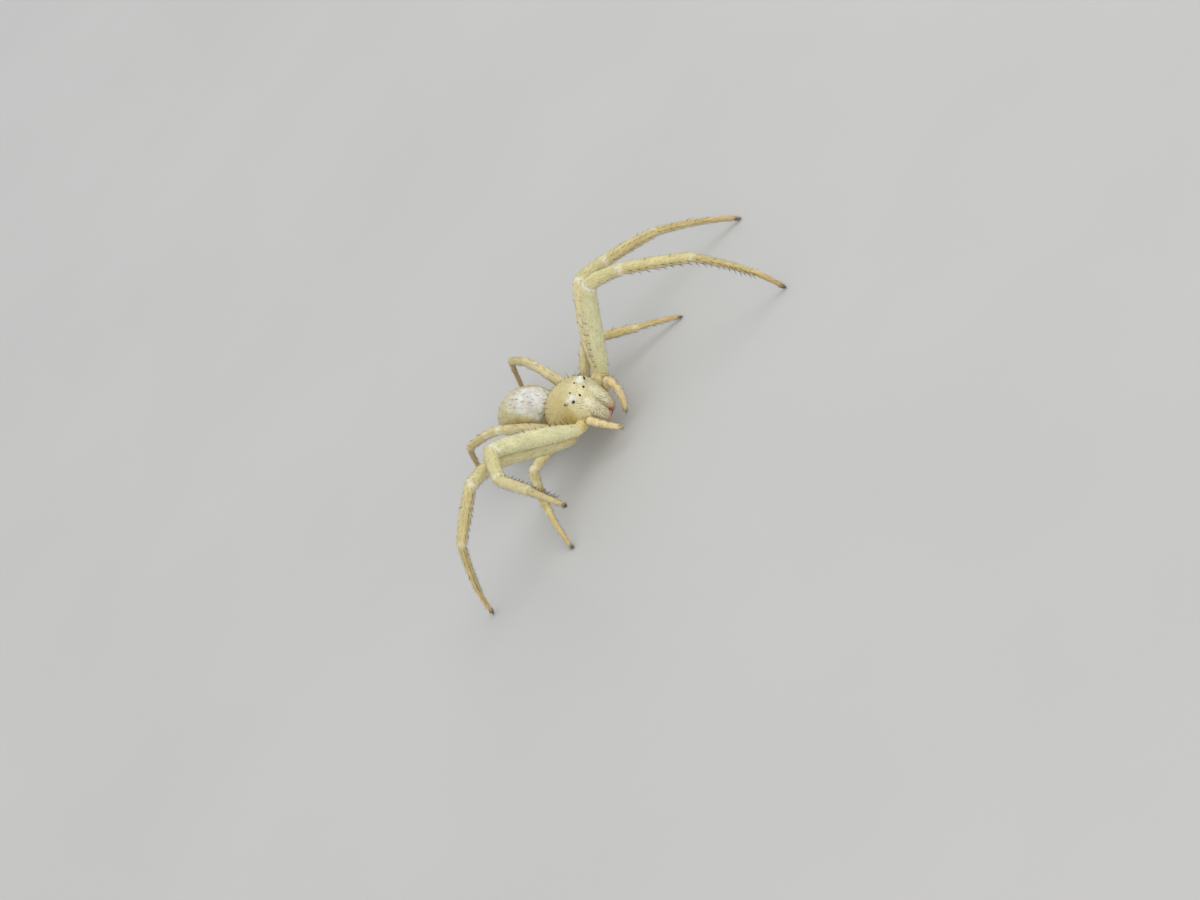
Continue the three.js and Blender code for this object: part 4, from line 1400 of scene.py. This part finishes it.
def flesh_nodes():
    names = ["cephalothorax", "pedicel", "abdomen", "spinnerets"]
    for side in SIDES:
        names += [f"chelicera_{side}", f"palp_{side}"]
        for number in LEGS:
            names += [f"{kind}_{side}_{number}" for kind in ("coxa", "femur", "patella", "tibia", "tarsus")]
    return names


paint_skin(skin, tubes)
skin.data.materials.clear()
dressed(skin, "leg", skin_look())
skin.data.set_sharp_from_angle(angle=math.radians(50))
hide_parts(*flesh_nodes())

soft = dict(Subsurface_Radius=SPREAD, Subsurface_Scale=0.0002)
lens = grained_look("lens", "0a0806", "1c120a", 9.0, 0.12,
                    Specular_IOR_Level=0.4, Coat_Weight=0.2, Coat_Roughness=0.05)
rim_rough = (20.0, 0.28, 0.4)
pale_rim = grained_look("eye_rim", "c4bd9a", "d6d0b2", 14.0, rim_rough, Subsurface_Weight=0.3, **soft)
brown_rim = grained_look("eye_rim_brown", "6d4f28", "a5834c", 14.0, rim_rough, Subsurface_Weight=0.3, **soft)
for eye_name in EYES:
    for side in SIDES:
        eye(eye_name, side, lens, brown_rim if eye_name == "rear_side" else pale_rim)
claws()
fangs()

pale_hair = grained_look("pale_hair", "806539", "e3d9ae", None, (12.0, 0.39, 0.51),
                         Specular_IOR_Level=0.4, Subsurface_Weight=0.2, **soft)
dark_hair = grained_look("dark_hair", "2a1d12", "7a5f38", None, (12.0, 0.34, 0.46),
                         Specular_IOR_Level=0.4, Subsurface_Weight=0.0, **soft)
coat_piece("leg_down_front", leg_down((1, 2)), pale_hair, "leg")
coat_piece("leg_down_rear", leg_down((3, 4)), pale_hair, "leg")
coat_piece("leg_hairs", leg_hairs(), dark_hair, "bristle")
coat_piece("leg_spines", leg_spines(), dark_hair, "bristle")
coat_piece("foot_brush", foot_brush(), dark_hair, "bristle")
coat_piece("body_down", body_down(), pale_hair, "carapace")
coat_piece("body_bristles", body_bristles(), dark_hair, "bristle")


# Stage: floor, camera and light.
FLOOR_SIZE = 3.0
CAMERA_AZIMUTH = math.radians(-28.333)
CAMERA_HEIGHT = math.radians(31.098)
CAMERA_ROLL = math.radians(-51.372)
CAMERA_AIM = (2.1067, -2.0943, 1.0)
CAMERA_DISTANCE = 110.0
FOCAL_PIXELS = 24.334 * CAMERA_DISTANCE
PHOTO_WIDTH = 1200
LAMP_COLOUR = (1.0, 0.98, 0.94)


def frame_direction(forward, left, up):
    return np.array([left, -forward, up], float)


def stage_floor():
    bpy.ops.mesh.primitive_plane_add(size=FLOOR_SIZE)
    floor = bpy.context.object
    floor.name = "floor"
    look = Look("floor", Roughness=0.75)
    shade = look.cloud(look.add("TexCoord", output=3), 60.0, detail=4.0)
    colour = look.mix(shade, (0.46, 0.46, 0.45, 1), (0.475, 0.475, 0.465, 1))
    floor.data.materials.append(look.finish(Base_Color=colour))


def stage_camera():
    fore, left = math.cos(CAMERA_AZIMUTH), math.sin(CAMERA_AZIMUTH)
    flat = math.cos(CAMERA_HEIGHT)
    toward = frame_direction(flat * fore, flat * left, math.sin(CAMERA_HEIGHT))
    level = unit(np.cross([0, 0, 1.0], toward))
    upright = np.cross(toward, level)
    right = level * math.cos(CAMERA_ROLL) + upright * math.sin(CAMERA_ROLL)
    top = -level * math.sin(CAMERA_ROLL) + upright * math.cos(CAMERA_ROLL)
    forward, left, up = CAMERA_AIM
    eye_point = frame_direction(forward, left, up) + SHIFT + toward * CAMERA_DISTANCE
    data = bpy.data.cameras.new("camera")
    data.sensor_width = 36.0
    data.lens = data.sensor_width * FOCAL_PIXELS / PHOTO_WIDTH
    data.clip_start = 0.001
    data.clip_end = 20.0
    camera = bpy.data.objects.new("camera", data)
    turn = Matrix((right, top, toward)).transposed().to_4x4()
    camera.matrix_world = Matrix.Translation(Vector(eye_point * MM)) @ turn
    bpy.context.scene.collection.objects.link(camera)
    bpy.context.scene.camera = camera


def lamp(name, way, distance, size, power, colour):
    """A square lamp that looks at the spider from a direction."""
    data = bpy.data.lights.new(name, "AREA")
    data.size = size
    data.energy = power
    data.color = colour
    light = bpy.data.objects.new(name, data)
    way = Vector(unit(way))
    light.location = way * distance
    light.rotation_euler = way.to_track_quat("Z", "Y").to_euler()
    bpy.context.scene.collection.objects.link(light)


def stage_light():
    world = bpy.data.worlds.new("studio")
    world.use_nodes = True
    sky = world.node_tree.nodes["Background"].inputs
    sky["Color"].default_value = (0.97, 0.98, 1.0, 1)
    sky["Strength"].default_value = 0.95
    bpy.context.scene.world = world
    lamp("key", frame_direction(0.35, 0.55, 0.8), 0.35, 0.24, 0.36, LAMP_COLOUR)
    lamp("fill", frame_direction(0.85, -0.5, 0.3), 0.4, 0.3, 0.5, LAMP_COLOUR)
    bpy.context.scene.view_settings.view_transform = "Standard"


stage_floor()
stage_camera()
stage_light()
